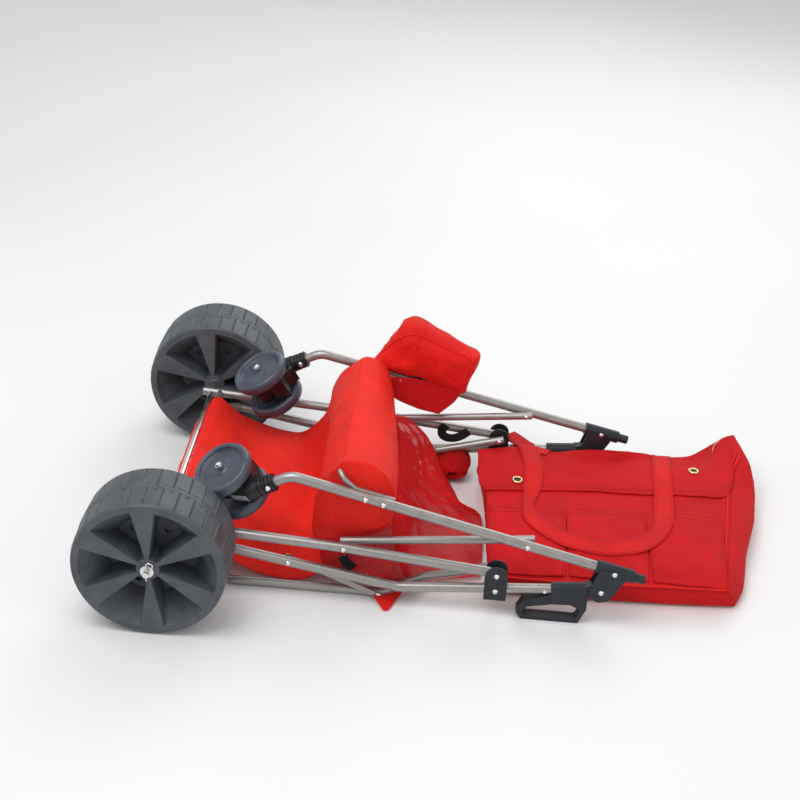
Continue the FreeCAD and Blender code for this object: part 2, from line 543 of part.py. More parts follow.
def make_rear_wheel(side, sign):
    """Wide hollow wheel: a rounded barrel, sloped pockets between six spokes, and a bored hub."""
    radius = dim("wheel_radius")
    half = dim("wheel_width") / 2
    wall = dim("wheel_wall")
    ring = radius - dim("rim_ring")
    depth = dim("rim_depth")
    shell = Part.Face(Part.makePolygon([
        Vector(0, -half), Vector(radius - 9, -half), Vector(radius - 3, -half + 5), Vector(radius, -half + 16),
        Vector(radius, half - 16), Vector(radius - 3, half - 5), Vector(radius - 9, half), Vector(0, half),
        Vector(0, -half)])).revolve(Vector(0, 0, 0), Vector(0, 1, 0), 360)
    core_half = half - depth - wall
    cavity = Part.Face(Part.makePolygon([
        Vector(dim("hub_radius") - 8, -core_half), Vector(ring, -core_half), Vector(ring + 4, -half + wall),
        Vector(radius - 12, -half + wall), Vector(radius - wall - 1, -half + 18), Vector(radius - wall - 1, half - 18),
        Vector(radius - 12, half - wall), Vector(ring + 4, half - wall), Vector(ring, core_half),
        Vector(dim("hub_radius") - 8, core_half), Vector(dim("hub_radius") - 8, -core_half)])
    ).revolve(Vector(0, 0, 0), Vector(0, 1, 0), 360)
    pockets = []
    for spoke in range(6):
        for face in (-1, 1):
            low = math.radians(13)
            high = math.radians(22)
            inner, outer = dim("hub_radius") + 4, ring
            corners = [Vector(inner * math.cos(low), 0, -inner * math.sin(low)),
                       Vector(outer * math.cos(high), 0, -outer * math.sin(high)),
                       Vector(outer * math.cos(high), 0, outer * math.sin(high)),
                       Vector(inner * math.cos(low), 0, inner * math.sin(low))]
            corners.append(corners[0])
            floor = Part.Face(Part.makePolygon([point + Vector(0, face * (half - depth), 0) for point in corners]))
            pocket = floor.extrude(Vector(0, face * (depth + 1), 0))
            pocket.rotate(Vector(0, 0, 0), Vector(0, 1, 0), 60 * spoke + 30)
            pockets.append(pocket)
    bore = Part.makeCylinder(dim("axle_radius") + dim("bore_clearance"), 2 * half + 2, Vector(0, -half - 1, 0),
                             Vector(0, 1, 0))
    wheel = doc.addObject("Part::Feature", "rear_wheel_" + side)
    wheel.Shape = shell.cut(cavity).cut(pockets).cut(bore)
    wheel.Placement.Base = at(0, sign * dim("half_track"), radius)
    keep("rear_wheel_" + side, wheel)


def make_links():
    """Side links between the rear and front tubes, with clear holes at both pivots."""
    inner = dim("inner_half")
    for side, sign in SIDES:
        rear = at(dim("link_rear_x"), sign * inner, dim("link_rear_z"))
        front = at(dim("link_front_x"), sign * inner, front_z(dim("link_front_x")))
        run = (front - rear).normalize()
        holes = [rivet_hole("link_front_" + side, dim("link_front_x"), sign * inner, front_z(dim("link_front_x"))),
                 rivet_hole("link_rear_" + side, dim("link_rear_x"), sign * inner, dim("link_rear_z"))]
        points = [rear - run * 8, front + run * 14]
        outer = cylinder("link_outer_" + side, "Sheet.link_radius", str((points[1] - points[0]).Length),
                         points[0], run)
        core = cylinder("link_core_" + side, "Sheet.link_radius - Sheet.tube_wall", str((points[1] - points[0]).Length + 4),
                        points[0] - run * 2, run)
        keep("side_link_" + side, cut("side_link_" + side, outer, fused("link_tools_" + side, [core] + holes)))


# ---------------------------------------------------------------- soft goods
def make_sling():
    """Sling from the rear cross tube to the sling bar, creased where it lies folded."""
    half = dim("sling_half")
    thick = dim("sling_thickness")
    bar = Vector(dim("rear_bar_x"), dim("rear_bar_z"), 0)
    crease = Vector(dim("crease_x"), dim("crease_z"), 0)
    run = (crease - bar).normalize()
    over = Vector(-run.y, run.x, 0)
    start = bar + run * 10.6 + over * 3
    stop = crease - run * 5
    outline = [(point.x, point.y) for point in (start, stop, stop + over * thick, start + over * thick)]
    sheet_solid = slab("sling_rear_sheet", outline, half)
    sleeve = across("sling_sleeve", "Sheet.slim_radius + 0.3 + Sheet.sling_thickness", "2 * Sheet.sling_half",
                    bar.x, 0, bar.y)
    sleeve_room = across("sling_sleeve_room", "Sheet.slim_radius + 0.3", "2 * Sheet.frame_half", bar.x, 0, bar.y)
    keep("sling_rear", cut("sling_rear", fused("sling_rear_solid", [sheet_solid, sleeve]), sleeve_room))
    top = Vector(dim("sling_bar_x") + 4, dim("sling_bar_z") - 12, 0)
    low = crease + Vector(3, 4, 0)
    outline = [(low.x, low.y), (low.x + thick, low.y), (top.x + thick, top.y), (top.x, top.y)]
    keep("sling_front", slab("sling_front", outline, half - 10))
    outer = [(291, 96), (293, 200), (300, 256), (318, 286), (346, 297), (376, 297), (404, 288), (426, 258),
             (438, 200), (438, 150)]
    inner = [(x + shift_x, z + shift_z) for (x, z), (shift_x, shift_z) in zip(
        outer, [(3, 0), (3, 0), (3, -1), (2, -3), (0, -3), (0, -3), (-2, -3), (-3, -1), (-3, 0), (-3, 0)])]
    keep("sling_hump", slab("sling_hump", outer + inner[::-1], half))


def make_mesh_net():
    """Net that hangs from the sling and lies on the floor."""
    outline = [(443, 160), (462, 60), (486, 8), (598, 3), (598, 7), (489, 12), (467, 62), (447, 161)]
    keep("mesh_net", slab("mesh_net", outline, dim("sling_half") - 4))


def prism(name, plan, low_z, high_z, corner=0):
    """Upright solid on an XY outline."""
    face = Part.Face(Part.makePolygon([at(x, y, low_z) for x, y in plan + plan[:1]]))
    solid = face.extrude(Vector(0, 0, high_z - low_z))
    if corner:
        upright = [edge for edge in solid.Edges if abs(edge.tangentAt(edge.FirstParameter).z) > 0.99]
        solid = solid.makeFillet(corner, upright)
    thing = doc.addObject("Part::Feature", name)
    thing.Shape = solid
    return thing


def make_tote():
    """Tote bag lying on its back, mouth towards +Y, with its grommets and carrying handles."""
    wall = dim("tote_wall")
    tall = dim("tote_height")
    left, right = dim("tote_left_x"), dim("tote_right_x")
    plan = [(left + 26, -205), (right - 62, -190), (right, 100), (right - 14, 296), (965, 226), (left, 226)]
    room = [(left + 29, -202), (right - 65, -187), (right - 3, 100), (right - 17, 300), (965, 230), (left + 3, 230)]
    outer = prism("tote_outer", plan, 0, tall)
    inner = prism("tote_room", room, wall, tall - wall)
    grommet_spots = ((698, 100), (1088, 187))
    holes = [cylinder("panel_hole_%d" % index, "Sheet.grommet_hole + 0.5", "12", at(x, y, tall - 6), Vector(0, 0, 1))
             for index, (x, y) in enumerate(grommet_spots)]
    keep("tote_bag", cut("tote_bag", outer, fused("tote_tools", [inner] + holes)))
    rings = []
    for index, (x, y) in enumerate(grommet_spots):
        ring = cylinder("grommet_%d" % index, "Sheet.grommet_radius", "2", at(x, y, tall + 0.05), Vector(0, 0, 1))
        hole = cylinder("grommet_hole_%d" % index, "Sheet.grommet_hole", "4", at(x, y, tall - 1), Vector(0, 0, 1))
        rings.append(cut("grommet_ring_%d" % index, ring, hole))
    keep("tote_grommets", grouped("tote_grommets", rings))
    path = [at(732, 215, 0), at(730, -40, 0), at(790, -150, 0), at(880, -165, 0), at(975, -120, 0), at(1012, 10, 0),
            at(1020, 232, 0)]
    spine = filleted_path(path, 45)
    band_half = 18
    band_thickness = 2.5
    inside = spine.makeOffset2D(band_half, 0, True, True).extrude(Vector(0, 0, band_thickness))
    outside = spine.makeOffset2D(-band_half, 0, True, True).extrude(Vector(0, 0, band_thickness))
    band = inside.fuse(outside).removeSplitter()
    band.translate(Vector(0, 0, tall + 0.05))
    handle = doc.addObject("Part::Feature", "tote_handle")
    handle.Shape = band
    keep("tote_handle", handle)


def finish():
    """Check every object and write one STEP file for each sub-part."""
    doc.recompute()
    for thing in doc.Objects:
        if "Invalid" in thing.State or "Error" in thing.State:
            raise RuntimeError("object failed: " + thing.Name)
    os.makedirs("parts", exist_ok=True)
    box = FreeCAD.BoundBox()
    for node, thing in NODES.items():
        shape = thing.Shape
        if shape.isNull() or not shape.isValid():
            raise RuntimeError("bad shape: " + node)
        if not shape.Solids or shape.Volume < 1:
            raise RuntimeError("no solid: " + node)
        shape.exportStep("parts/%s.step" % node)
        box.add(shape.BoundBox)
    print(len(NODES), "nodes, box", box)


make_handle_frame()
make_grip_loops()
make_front_frame()
make_casters()
make_rear_frame()
for wheel_side, wheel_sign in SIDES:
    make_rear_wheel(wheel_side, wheel_sign)
make_links()
make_sling()
make_mesh_net()
make_tote()
finish()
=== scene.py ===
"""Folding beach cart, folded flat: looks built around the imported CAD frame, in metres."""
import json
import math

import bmesh
import bpy
import numpy as np
from mathutils import Matrix, Vector, noise
from mathutils.bvhtree import BVHTree


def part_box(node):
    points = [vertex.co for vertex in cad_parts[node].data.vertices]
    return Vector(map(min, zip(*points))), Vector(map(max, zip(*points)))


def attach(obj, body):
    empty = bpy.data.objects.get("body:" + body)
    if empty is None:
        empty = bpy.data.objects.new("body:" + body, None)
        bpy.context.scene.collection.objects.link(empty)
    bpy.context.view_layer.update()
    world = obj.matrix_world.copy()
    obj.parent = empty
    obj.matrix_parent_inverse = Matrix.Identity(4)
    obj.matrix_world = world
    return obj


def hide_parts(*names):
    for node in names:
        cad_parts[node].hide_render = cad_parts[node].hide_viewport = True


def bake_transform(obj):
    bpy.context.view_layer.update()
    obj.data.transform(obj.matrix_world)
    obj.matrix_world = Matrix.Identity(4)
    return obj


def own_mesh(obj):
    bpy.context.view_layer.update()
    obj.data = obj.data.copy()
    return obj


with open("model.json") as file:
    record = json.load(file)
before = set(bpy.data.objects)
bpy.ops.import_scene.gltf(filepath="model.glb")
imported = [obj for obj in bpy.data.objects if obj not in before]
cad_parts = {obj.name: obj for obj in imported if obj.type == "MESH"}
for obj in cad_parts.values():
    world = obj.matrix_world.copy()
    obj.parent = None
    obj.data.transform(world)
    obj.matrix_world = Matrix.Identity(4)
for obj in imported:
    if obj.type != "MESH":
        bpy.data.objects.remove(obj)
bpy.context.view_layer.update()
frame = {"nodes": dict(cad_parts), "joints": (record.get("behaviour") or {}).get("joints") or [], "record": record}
RECORD = frame["record"]
JOINTS = {joint["name"]: joint for joint in frame["joints"]}
SIDES = (("right", -1), ("left", 1))


def middle(node):
    """Centre of a CAD node's box."""
    low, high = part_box(node)
    return (low + high) / 2


AXLE = middle("rear_axle")


def at(station, y, z):
    """Point from its station in millimetres, measured from the rear axle."""
    return Vector((AXLE.x + station / 1000, y / 1000, z / 1000))


# ---------------------------------------------------------------- materials
class Nodes:
    """Short way to wire a material's nodes."""

    def __init__(self, name, colour, roughness, **constants):
        self.material = bpy.data.materials.new(name)
        self.material.use_nodes = True
        self.tree = self.material.node_tree
        self.shader = self.tree.nodes["Principled BSDF"]
        self.set(self.shader, "Base Color", (*colour, 1))
        self.set(self.shader, "Roughness", roughness)
        for socket, value in constants.items():
            self.set(self.shader, socket.replace("_", " "), value)
        self.height = None

    def set(self, node, socket, value):
        if isinstance(value, bpy.types.NodeSocket):
            self.tree.links.new(value, node.inputs[socket])
        else:
            node.inputs[socket].default_value = value

    def add(self, kind, inputs=None, **properties):
        node = self.tree.nodes.new(kind)
        for key, value in properties.items():
            setattr(node, key, value)
        for socket, value in (inputs or {}).items():
            self.set(node, socket, value)
        return node

    def math(self, operation, first, second):
        return self.add("ShaderNodeMath", {0: first, 1: second}, operation=operation).outputs[0]

    def place(self, uv=False):
        """Coordinates that stay on the piece: its UV map in metres, or its own object space."""
        if uv:
            return self.add("ShaderNodeUVMap", uv_map="UVMap").outputs[0]
        return self.add("ShaderNodeTexCoord").outputs["Object"]

    def noise(self, where, scale, detail=2.0, roughness=0.5, distortion=0.0):
        node = self.add("ShaderNodeTexNoise", {"Vector": where, "Scale": scale, "Detail": detail,
                                               "Roughness": roughness, "Distortion": distortion})
        return node.outputs["Fac"]

    def ramp(self, value, stops):
        node = self.add("ShaderNodeValToRGB", {"Fac": value})
        ramp = node.color_ramp
        while len(ramp.elements) < len(stops):
            ramp.elements.new(0.5)
        for element, (position, colour) in zip(ramp.elements, stops):
            element.position = position
            element.color = (*colour, 1) if hasattr(colour, "__len__") else (colour,) * 3 + (1,)
        return node.outputs["Color"]

    def bump(self, height, distance, strength=1.0):
        node = self.add("ShaderNodeBump", {"Height": height, "Distance": distance, "Strength": strength})
        if self.height is not None:
            self.set(node, "Normal", self.height)
        self.height = node.outputs["Normal"]
        self.set(self.shader, "Normal", self.height)

    def vary(self, value, low, high, colours, spread=(0.3, 0.7)):
        """Colour and roughness that drift with a noise value."""
        self.set(self.shader, "Base Color", self.ramp(value, list(zip(spread, colours))))
        self.set(self.shader, "Roughness", self.ramp(value, list(zip(spread, (low, high)))))


def metal_paint(name, dark, light, roughness, flakes):
    """Sprayed metal paint: fine flakes, faint orange peel and scuffs."""
    made = Nodes(name, light, roughness, Metallic=0.75, Coat_Weight=0.25, Coat_Roughness=0.2)
    where = made.place()
    made.vary(made.noise(where, 55, 5, 0.65), roughness * 0.8, roughness * 1.3, (dark, light), (0.25, 0.7))
    made.bump(made.noise(where, flakes, 2), 0.00012, 0.5)
    made.bump(made.noise(where, 240, 2), 0.0002, 0.3)
    return made.material


def plastic(name, dark, light, roughness, grain=900, depth=0.00025, **constants):
    """Moulded plastic: fine spark-eroded grain, faint flow marks and worn, paler patches."""
    made = Nodes(name, light, roughness, **constants)
    where = made.place()
    worn = made.noise(where, 22, 6, 0.6, 0.4)
    made.vary(worn, roughness * 0.85, roughness * 1.2, (dark, light), (0.3, 0.72))
    made.bump(made.noise(where, grain, 3), depth, 0.35)
    made.bump(made.noise(where, 35, 2), 0.001, 0.15)
    return made.material


def zinc(name, colour, roughness):
    """Plated steel with fine turning marks."""
    made = Nodes(name, colour, roughness, Metallic=1.0)
    where = made.place()
    tint = [min(c * 0.88, 1) for c in colour]
    made.vary(made.noise(where, 60, 4), roughness * 0.85, roughness * 1.25, (tint, colour))
    made.bump(made.noise(where, 1500, 2), 0.0001, 0.4)
    return made.material


def foam_rubber():
    """Closed-cell foam with open pores."""
    made = Nodes("foam_look", (0.02, 0.02, 0.022), 0.9, Sheen_Weight=0.3, Sheen_Roughness=0.6)
    where = made.place()
    cells = made.add("ShaderNodeTexVoronoi", {"Vector": where, "Scale": 900}).outputs["Distance"]
    made.vary(made.noise(where, 60, 4), 0.8, 0.98, ((0.012, 0.012, 0.014), (0.035, 0.035, 0.038)))
    made.bump(cells, 0.0005, 0.7)
    return made.material


def cloth(name, dark, light, roughness, pitch, sheen=0.4, weave=0.7, uv=True, tint=(1, 0.10, 0.06)):
    """Woven polyester: crossing threads, uneven dye, soft creases and a sheen."""
    made = Nodes(name, light, roughness, Sheen_Weight=sheen, Sheen_Roughness=0.4, Sheen_Tint=(*tint, 1),
                 Specular_IOR_Level=0.16)
    where = made.place(uv)
    threads = []
    for direction in ("X", "Y"):
        inputs = {"Vector": where, "Scale": math.pi / (10 * pitch), "Distortion": 0.6, "Detail": 1.0}
        wave = made.add("ShaderNodeTexWave", inputs, bands_direction=direction)
        threads.append(wave.outputs["Fac"])
    woven = made.math("MULTIPLY", threads[0], threads[1])
    patches = made.noise(where, 9, 5, 0.55)
    fine = made.noise(where, 160, 4, 0.6)
    mixed = made.math("ADD", made.math("MULTIPLY", patches, 0.6), made.math("MULTIPLY", fine, 0.4))
    mixed = made.math("SUBTRACT", mixed, made.math("MULTIPLY", woven, 0.06))
    made.vary(mixed, roughness * 0.92, min(roughness * 1.1, 1), (dark, light), (0.36, 0.58))
    made.bump(woven, pitch * 0.5, weave)
    made.bump(made.noise(where, 45, 4, 0.6), 0.0016, 0.5)
    made.bump(made.noise(where, 11, 3, 0.55, 0.6), 0.006, 0.35)
    return made.material


TUBE_PAINT = metal_paint("tube_paint", (0.30, 0.285, 0.275), (0.38, 0.362, 0.350), 0.34, 2600)
SLATE = plastic("slate_look", (0.010, 0.013, 0.018), (0.024, 0.029, 0.038), 0.46, Specular_IOR_Level=0.35)
BLACK = plastic("black_look", (0.006, 0.006, 0.007), (0.017, 0.017, 0.019), 0.4)
WHEEL = plastic("wheel_look", (0.046, 0.053, 0.062), (0.090, 0.101, 0.114), 0.5, 700, 0.0004)
CASTER = plastic("caster_look", (0.036, 0.046, 0.068), (0.074, 0.092, 0.128), 0.36, 1200, 0.0001,
                 Coat_Weight=0.15, Coat_Roughness=0.25)
ZINC = zinc("zinc_look", (0.78, 0.77, 0.75), 0.24)
BRASS = zinc("brass_look", (0.86, 0.68, 0.36), 0.3)
FOAM = foam_rubber()
RED = cloth("red_canvas", (0.50, 0.006, 0.010), (0.66, 0.010, 0.013), 0.72, 0.0011, sheen=0.15)
RED_NYLON = cloth("red_nylon", (0.70, 0.012, 0.008), (0.92, 0.024, 0.012), 0.5, 0.0006, sheen=0.3)
# Darker copy of the red canvas: painted shade for the inside of the gathered net end.
RED_PAINTED_SHADE = cloth("red_painted_shade", (0.26, 0.003, 0.006), (0.38, 0.005, 0.008), 0.8, 0.0011)
NET = cloth("red_net", (0.62, 0.008, 0.013), (0.86, 0.013, 0.017), 0.6, 0.0006, sheen=0.1)
RED_FREE = cloth("red_pouch", (0.66, 0.010, 0.009), (0.88, 0.018, 0.012), 0.6, 0.0011, sheen=0.2, uv=False)
STRAP = cloth("red_webbing", (0.60, 0.008, 0.010), (0.80, 0.016, 0.014), 0.6, 0.0019, sheen=0.15, weave=0.9)
THREAD = plastic("red_thread", (0.34, 0.005, 0.008), (0.46, 0.008, 0.01), 0.6)
PALE = plastic("pale_thread", (0.55, 0.50, 0.46), (0.78, 0.74, 0.70), 0.7)
FOIL = plastic("blank_label", (0.50, 0.51, 0.52), (0.66, 0.67, 0.68), 0.34, 400, 0.0002, Metallic=0.35)
WEB = cloth("black_webbing", (0.008, 0.008, 0.009), (0.022, 0.022, 0.024), 0.75, 0.0016, sheen=0.1,
            weave=0.9, tint=(0.8, 0.8, 0.9))
CAD_LOOKS = {"frame_paint": TUBE_PAINT, "slate_plastic": SLATE, "black_plastic": BLACK,
             "wheel_plastic": WHEEL, "caster_plastic": CASTER, "zinc_steel": ZINC, "foam": FOAM,
             "red_fabric": RED, "red_mesh": RED, "brass": BRASS}


# ---------------------------------------------------------------- mesh helpers
def piece(name, points, faces, look, uv=None):
    """New mesh object from points and faces, with UVs in metres given per point."""
    mesh = bpy.data.meshes.new(name)
    mesh.from_pydata([tuple(p) for p in points], [], faces)
    if uv is not None:
        layer = mesh.uv_layers.new(name="UVMap")
        loops = np.zeros(len(mesh.loops), np.int32)
        mesh.loops.foreach_get("vertex_index", loops)
        layer.data.foreach_set("uv", np.asarray(uv, np.float32)[loops].ravel())
    mesh.materials.append(look)
    mesh.shade_smooth()
    mesh.update()
    made = bpy.data.objects.new(name, mesh)
    bpy.context.scene.collection.objects.link(made)
    return made


def apply(made):
    """Bakes an object's modifiers into its mesh."""
    graph = bpy.context.evaluated_depsgraph_get()
    mesh = bpy.data.meshes.new_from_object(made.evaluated_get(graph))
    old = made.data
    made.modifiers.clear()
    made.data = mesh
    mesh.name = made.name
    bpy.data.meshes.remove(old)
    return made


def modify(made, kind, **settings):
    """Adds a modifier; apply() bakes it."""
    modifier = made.modifiers.new(kind.lower(), kind)
    for key, value in settings.items():
        setattr(modifier, key, value)
    return modifier


def quads(rows, columns, close_rows=False, close_columns=False):
    """Faces of a grid of points stored row by row."""
    faces = []
    for r in range(rows if close_rows else rows - 1):
        for c in range(columns if close_columns else columns - 1):
            here, beyond, beside = r * columns, (r + 1) % rows * columns, (c + 1) % columns
            faces.append((here + c, here + beside, beyond + beside, beyond + c))
    return faces


def capped(rows, columns):
    """Faces of a tube of rings, closed at both ends."""
    last = (rows - 1) * columns
    ends = [tuple(range(columns))[::-1], tuple(last + q for q in range(columns))]
    return quads(rows, columns, False, True) + ends


def spline(points, count, closed=False):
    """Catmull-Rom curve through points, evenly spaced along its length."""
    points = np.array([list(p) for p in points], float)
    if closed:
        padded = np.vstack([points[-1], points, points[0], points[1]])
    else:
        padded = np.vstack([2 * points[0] - points[1], points, 2 * points[-1] - points[-2]])
    fine = []
    for i in range(len(padded) - 3):
        p0, p1, p2, p3 = padded[i:i + 4]
        t = np.linspace(0, 1, 24, endpoint=False)[:, None]
        fine.append(0.5 * (2 * p1 + (p2 - p0) * t + (2 * p0 - 5 * p1 + 4 * p2 - p3) * t ** 2
                           + (3 * p1 - p0 - 3 * p2 + p3) * t ** 3))
    fine = np.vstack(fine + [padded[-2][None]])
    lengths = np.concatenate([[0], np.cumsum(np.linalg.norm(np.diff(fine, axis=0), axis=1))])
    wanted = np.linspace(0, lengths[-1], count, endpoint=not closed)
    return np.stack([np.interp(wanted, lengths, fine[:, k]) for k in range(fine.shape[1])], 1)


def ripple(point, scale, seed=0.0):
    """Smooth noise between -1 and 1."""
    x, y, z = point
    return noise.noise(Vector((x * scale + seed, y * scale + seed * 1.7, z * scale - seed)))


def turned(profile, segments, name, look, axis, centre):
    """Solid of revolution: a profile of (radius, height) turned about an axis through a centre."""
    rows = []
    for radius, height in profile:
        for s in range(segments):
            a = 2 * math.pi * s / segments
            rows.append((radius * math.cos(a), radius * math.sin(a), height))
    made = piece(name, rows, quads(len(profile), segments, True, True), look)
    place(made, axis, centre)
    return made


def place(made, axis, centre):
    """Turns a mesh built about Z to an axis and moves it to a centre."""
    turn = Vector((0, 0, 1)).rotation_difference(Vector(axis)).to_matrix().to_4x4()
    made.data.transform(Matrix.Translation(Vector(centre)) @ turn)
    bm = bmesh.new()
    bm.from_mesh(made.data)
    bmesh.ops.recalc_face_normals(bm, faces=bm.faces)
    bm.to_mesh(made.data)
    bm.free()
    return made


def joined(name, parts):
    """One mesh object out of several that have no modifiers; the parts are removed."""
    bm = bmesh.new()
    for part in parts:
        bm.from_mesh(part.data)
    look = parts[0].data.materials[0]
    for part in parts:
        bpy.data.objects.remove(part)
    made = piece(name, [], [], look)
    bm.to_mesh(made.data)
    bm.free()
    made.data.shade_smooth()
    return made


def sharpen(made, degrees=35):
    """Smooth shading with creases kept where faces meet at more than an angle."""
    made.data.set_sharp_from_angle(angle=math.radians(degrees))
    return made


def stands_for(made, body, slot, *nodes):
    """A piece that rides on a body and replaces the CAD nodes named; the slot is not used."""
    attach(made, body)
    if nodes:
        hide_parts(*nodes)
    return made


# ---------------------------------------------------------------- rear wheels
SPOKE_ANGLES = [0, 2, 4, 6, 8, 9.3, 10, 10.9]
FACET = 12


def wheel_angles():
    """Column angles of one wheel, in degrees: creases of the spokes and of both rows of tread facets."""
    columns = set(SPOKE_ANGLES) | {60 - angle for angle in SPOKE_ANGLES if angle}
    columns |= {groove + step for groove in range(0, 60, FACET) for step in (0, 1, 4, 5, 6, 7, 8, 11)}
    return [60 * sector + angle for sector in range(6) for angle in sorted(columns)]


def face_depth(radius, angle):
    """How far a wheel's face lies inside its rim plane: spokes, hub, and deep sloped pockets with a web."""
    away = abs((angle + 30) % 60 - 30)
    spoke = 0.006 * min(max((0.131 - radius) / 0.105, 0), 1)
    if radius < 0.0235 or radius > 0.1305 or away < 9.5:
        return spoke
    if away < 10.5:
        return spoke + 0.0012
    web = 0.058
    share = min(max((radius - 0.084) / 0.045, 0), 1)
    return max(web + (0.004 - web) * share ** 0.9, spoke + 0.002)


def tread_radius(height, angle, base, row):
    """Tread radius: flat facets between narrow grooves, and a small slot by the middle line."""
    phase = (angle + 6 * row) % FACET - 6
    if abs(abs(phase) - 6) < 0.5:
        return base - 0.0024
    radius = base * math.cos(math.radians(5)) / math.cos(math.radians(phase))
    if 0.0075 < abs(height) < 0.0105 and abs(phase) < 1.5:
        radius -= 0.0016
    return radius


def wheel_mesh():
    """One-piece wheel about Z: bore, spoked faces and faceted tread in a single closed surface."""
    angles = wheel_angles()
    half, drill_circle, drill_radius = 0.0655, 0.066, 0.0085
    faces = [0.0065, 0.014, 0.0222, 0.0238, 0.036, 0.052, 0.068, 0.084, 0.095, 0.107, 0.119, 0.129,
             0.1312, 0.1375, 0.1425]
    outer_row = (-0.0590, -0.045, -0.030, -0.0112, -0.0100, -0.0080, -0.0070, -0.0045)
    edge = [(-0.0652, 0.1440), (-0.0635, 0.1455), (-0.0600, 0.1464)]
    middle_line = [(-0.0034, 0.1481), (-0.0026, 0.1490), (0.0026, 0.1490), (0.0034, 0.1481)]

    def round_rings(line):
        return [[(r, z)] * len(angles) for z, r in line]

    def face_rings(side):
        return [[(r, side * (half - face_depth(r, a))) for a in angles] for r in faces]

    rings = face_rings(-1) + round_rings(edge)
    for row, heights in enumerate((outer_row, [-z for z in reversed(outer_row)])):
        for z in heights:
            base = 0.1486 - 0.0016 * (abs(z) / 0.059) ** 2
            rings.append([(tread_radius(z, a, base, row), z) for a in angles])
        if row == 0:
            rings += round_rings(middle_line)
    rings += round_rings([(-z, r) for z, r in reversed(edge)]) + face_rings(1)[::-1]
    points = [(r * math.cos(math.radians(a)), r * math.sin(math.radians(a)), z)
              for ring in rings for a, (r, z) in zip(angles, ring)]
    made = piece("wheel_form", points, quads(len(rings), len(angles), True, True), WHEEL)
    drills = []
    for pocket in range(12):
        a, face = math.radians(60 * (pocket // 2) + 30), 1 - 2 * (pocket % 2)
        hole = [(r, z * face) for r, z in ((0.0001, 0.002), (drill_radius, 0.002), (drill_radius, 0.03),
                                           (0.0001, 0.03))]
        spot = (drill_circle * math.cos(a), drill_circle * math.sin(a), 0)
        drills.append(turned(hole, 20, "drill", WHEEL, (0, 0, 1), spot))
    tool = joined("drills", drills)
    modify(made, "BOOLEAN", operation="DIFFERENCE", solver="EXACT", object=tool)
    place(made, (0, 0, 1), (0, 0, 0))
    apply(made)
    bpy.data.objects.remove(tool)
    return made


# Half section of the hexagonal hub plate, (radius, height) in metres.
HUB_PLATE = [(0.0072, 0.0), (0.0072, 0.0035), (0.0125, 0.0035), (0.0145, 0.0015), (0.0215, 0.0012),
             (0.0225, 0.0)]


def build_rear_wheels():
    """Both rear wheels, each with a moulded hexagonal hub plate."""
    form = wheel_mesh()
    for side, sign in SIDES:
        node = "rear_wheel_" + side
        centre = middle(node)
        wheel = bpy.data.objects.new("wheel_" + side, form.data.copy())
        bpy.context.scene.collection.objects.link(wheel)
        wheel.data.transform(Matrix.Rotation(math.radians(-33 if sign < 0 else -38), 4, "Z"))
        place(wheel, (0, 1, 0), centre)
        sharpen(wheel, 28)
        stands_for(wheel, node, "wheel_plastic", node)
        for face in (-1, 1):
            hub = turned(HUB_PLATE, 6, "hub_plate_%s_%d" % (side, face > 0), WHEEL, (0, face, 0),
                         centre + Vector((0, face * 0.0592, 0)))
            sharpen(hub, 20)
            stands_for(hub, node, "wheel_plastic")
    bpy.data.objects.remove(form)


# ---------------------------------------------------------------- casters
# Half section of a caster wheel, (radius, height) in millimetres: dished disc, raised rim, tyre, back.
CASTER_PROFILE = [
    (4.2, 19.2), (9.5, 19.2), (10.5, 18.4), (12, 17.6), (28, 16.6), (41, 15.4), (43.5, 15.4),
    (44.5, 16.2), (45.2, 17.6), (46.8, 18.2), (47.6, 19.4), (48.4, 22.6), (49.8, 24.2), (52, 24.9),
    (54.6, 24.9), (57.2, 23.9), (59.2, 21.8), (60.5, 18.6), (61, 14.5), (60.9, 9), (60.2, 5),
    (58.6, 2), (56, 0.5), (52, 0.2), (49.6, 0.8), (48.6, 2.4), (48.2, 11.2), (46, 12), (24, 12.6),
    (14, 12.8), (12.6, 12), (12.2, 0.9), (4.2, 0.9)]
CASTER_RING = [(0.0145, 0.0), (0.0150, 0.0009), (0.0158, 0.0009), (0.0163, 0.0)]


def build_casters():
    """Four slate-blue caster wheels with a raised round rim, a dished disc and a moulded ring."""
    profile = [(r / 1000, z / 1000) for r, z in CASTER_PROFILE]
    for side, _ in SIDES:
        for level in ("upper", "lower"):
            node = "caster_wheel_%s_%s" % (level, side)
            axis = Vector(JOINTS["caster_spin_%s_%s" % (level, side)]["axis"]).normalized()
            way = axis if level == "upper" else -axis
            inner = middle("caster_bolt_" + side) + way * 0.025
            wheel = turned(profile, 96, "caster_disc_%s_%s" % (level, side), CASTER, way, inner)
            sharpen(wheel, 40)
            stands_for(wheel, node, "caster_plastic", node)
            ring = turned(CASTER_RING, 72, "caster_ring_%s_%s" % (level, side), CASTER, way,
                          inner + way * 0.0171)
            stands_for(ring, node, "caster_plastic")


# Outline of a fork block: (distance along the stem in metres, share of the full width).
FORK_PROFILE = [
    (-0.034, 0.30), (-0.0335, 0.62), (-0.0315, 0.82), (-0.027, 0.95), (-0.020, 1.0), (0.012, 1.0),
    (0.049, 1.0), (0.0505, 0.97), (0.051, 0.88), (0.0535, 0.88), (0.054, 0.96), (0.0565, 0.96),
    (0.057, 0.86), (0.0595, 0.86), (0.060, 0.94), (0.0625, 0.94), (0.063, 0.7), (0.0635, 0.3)]


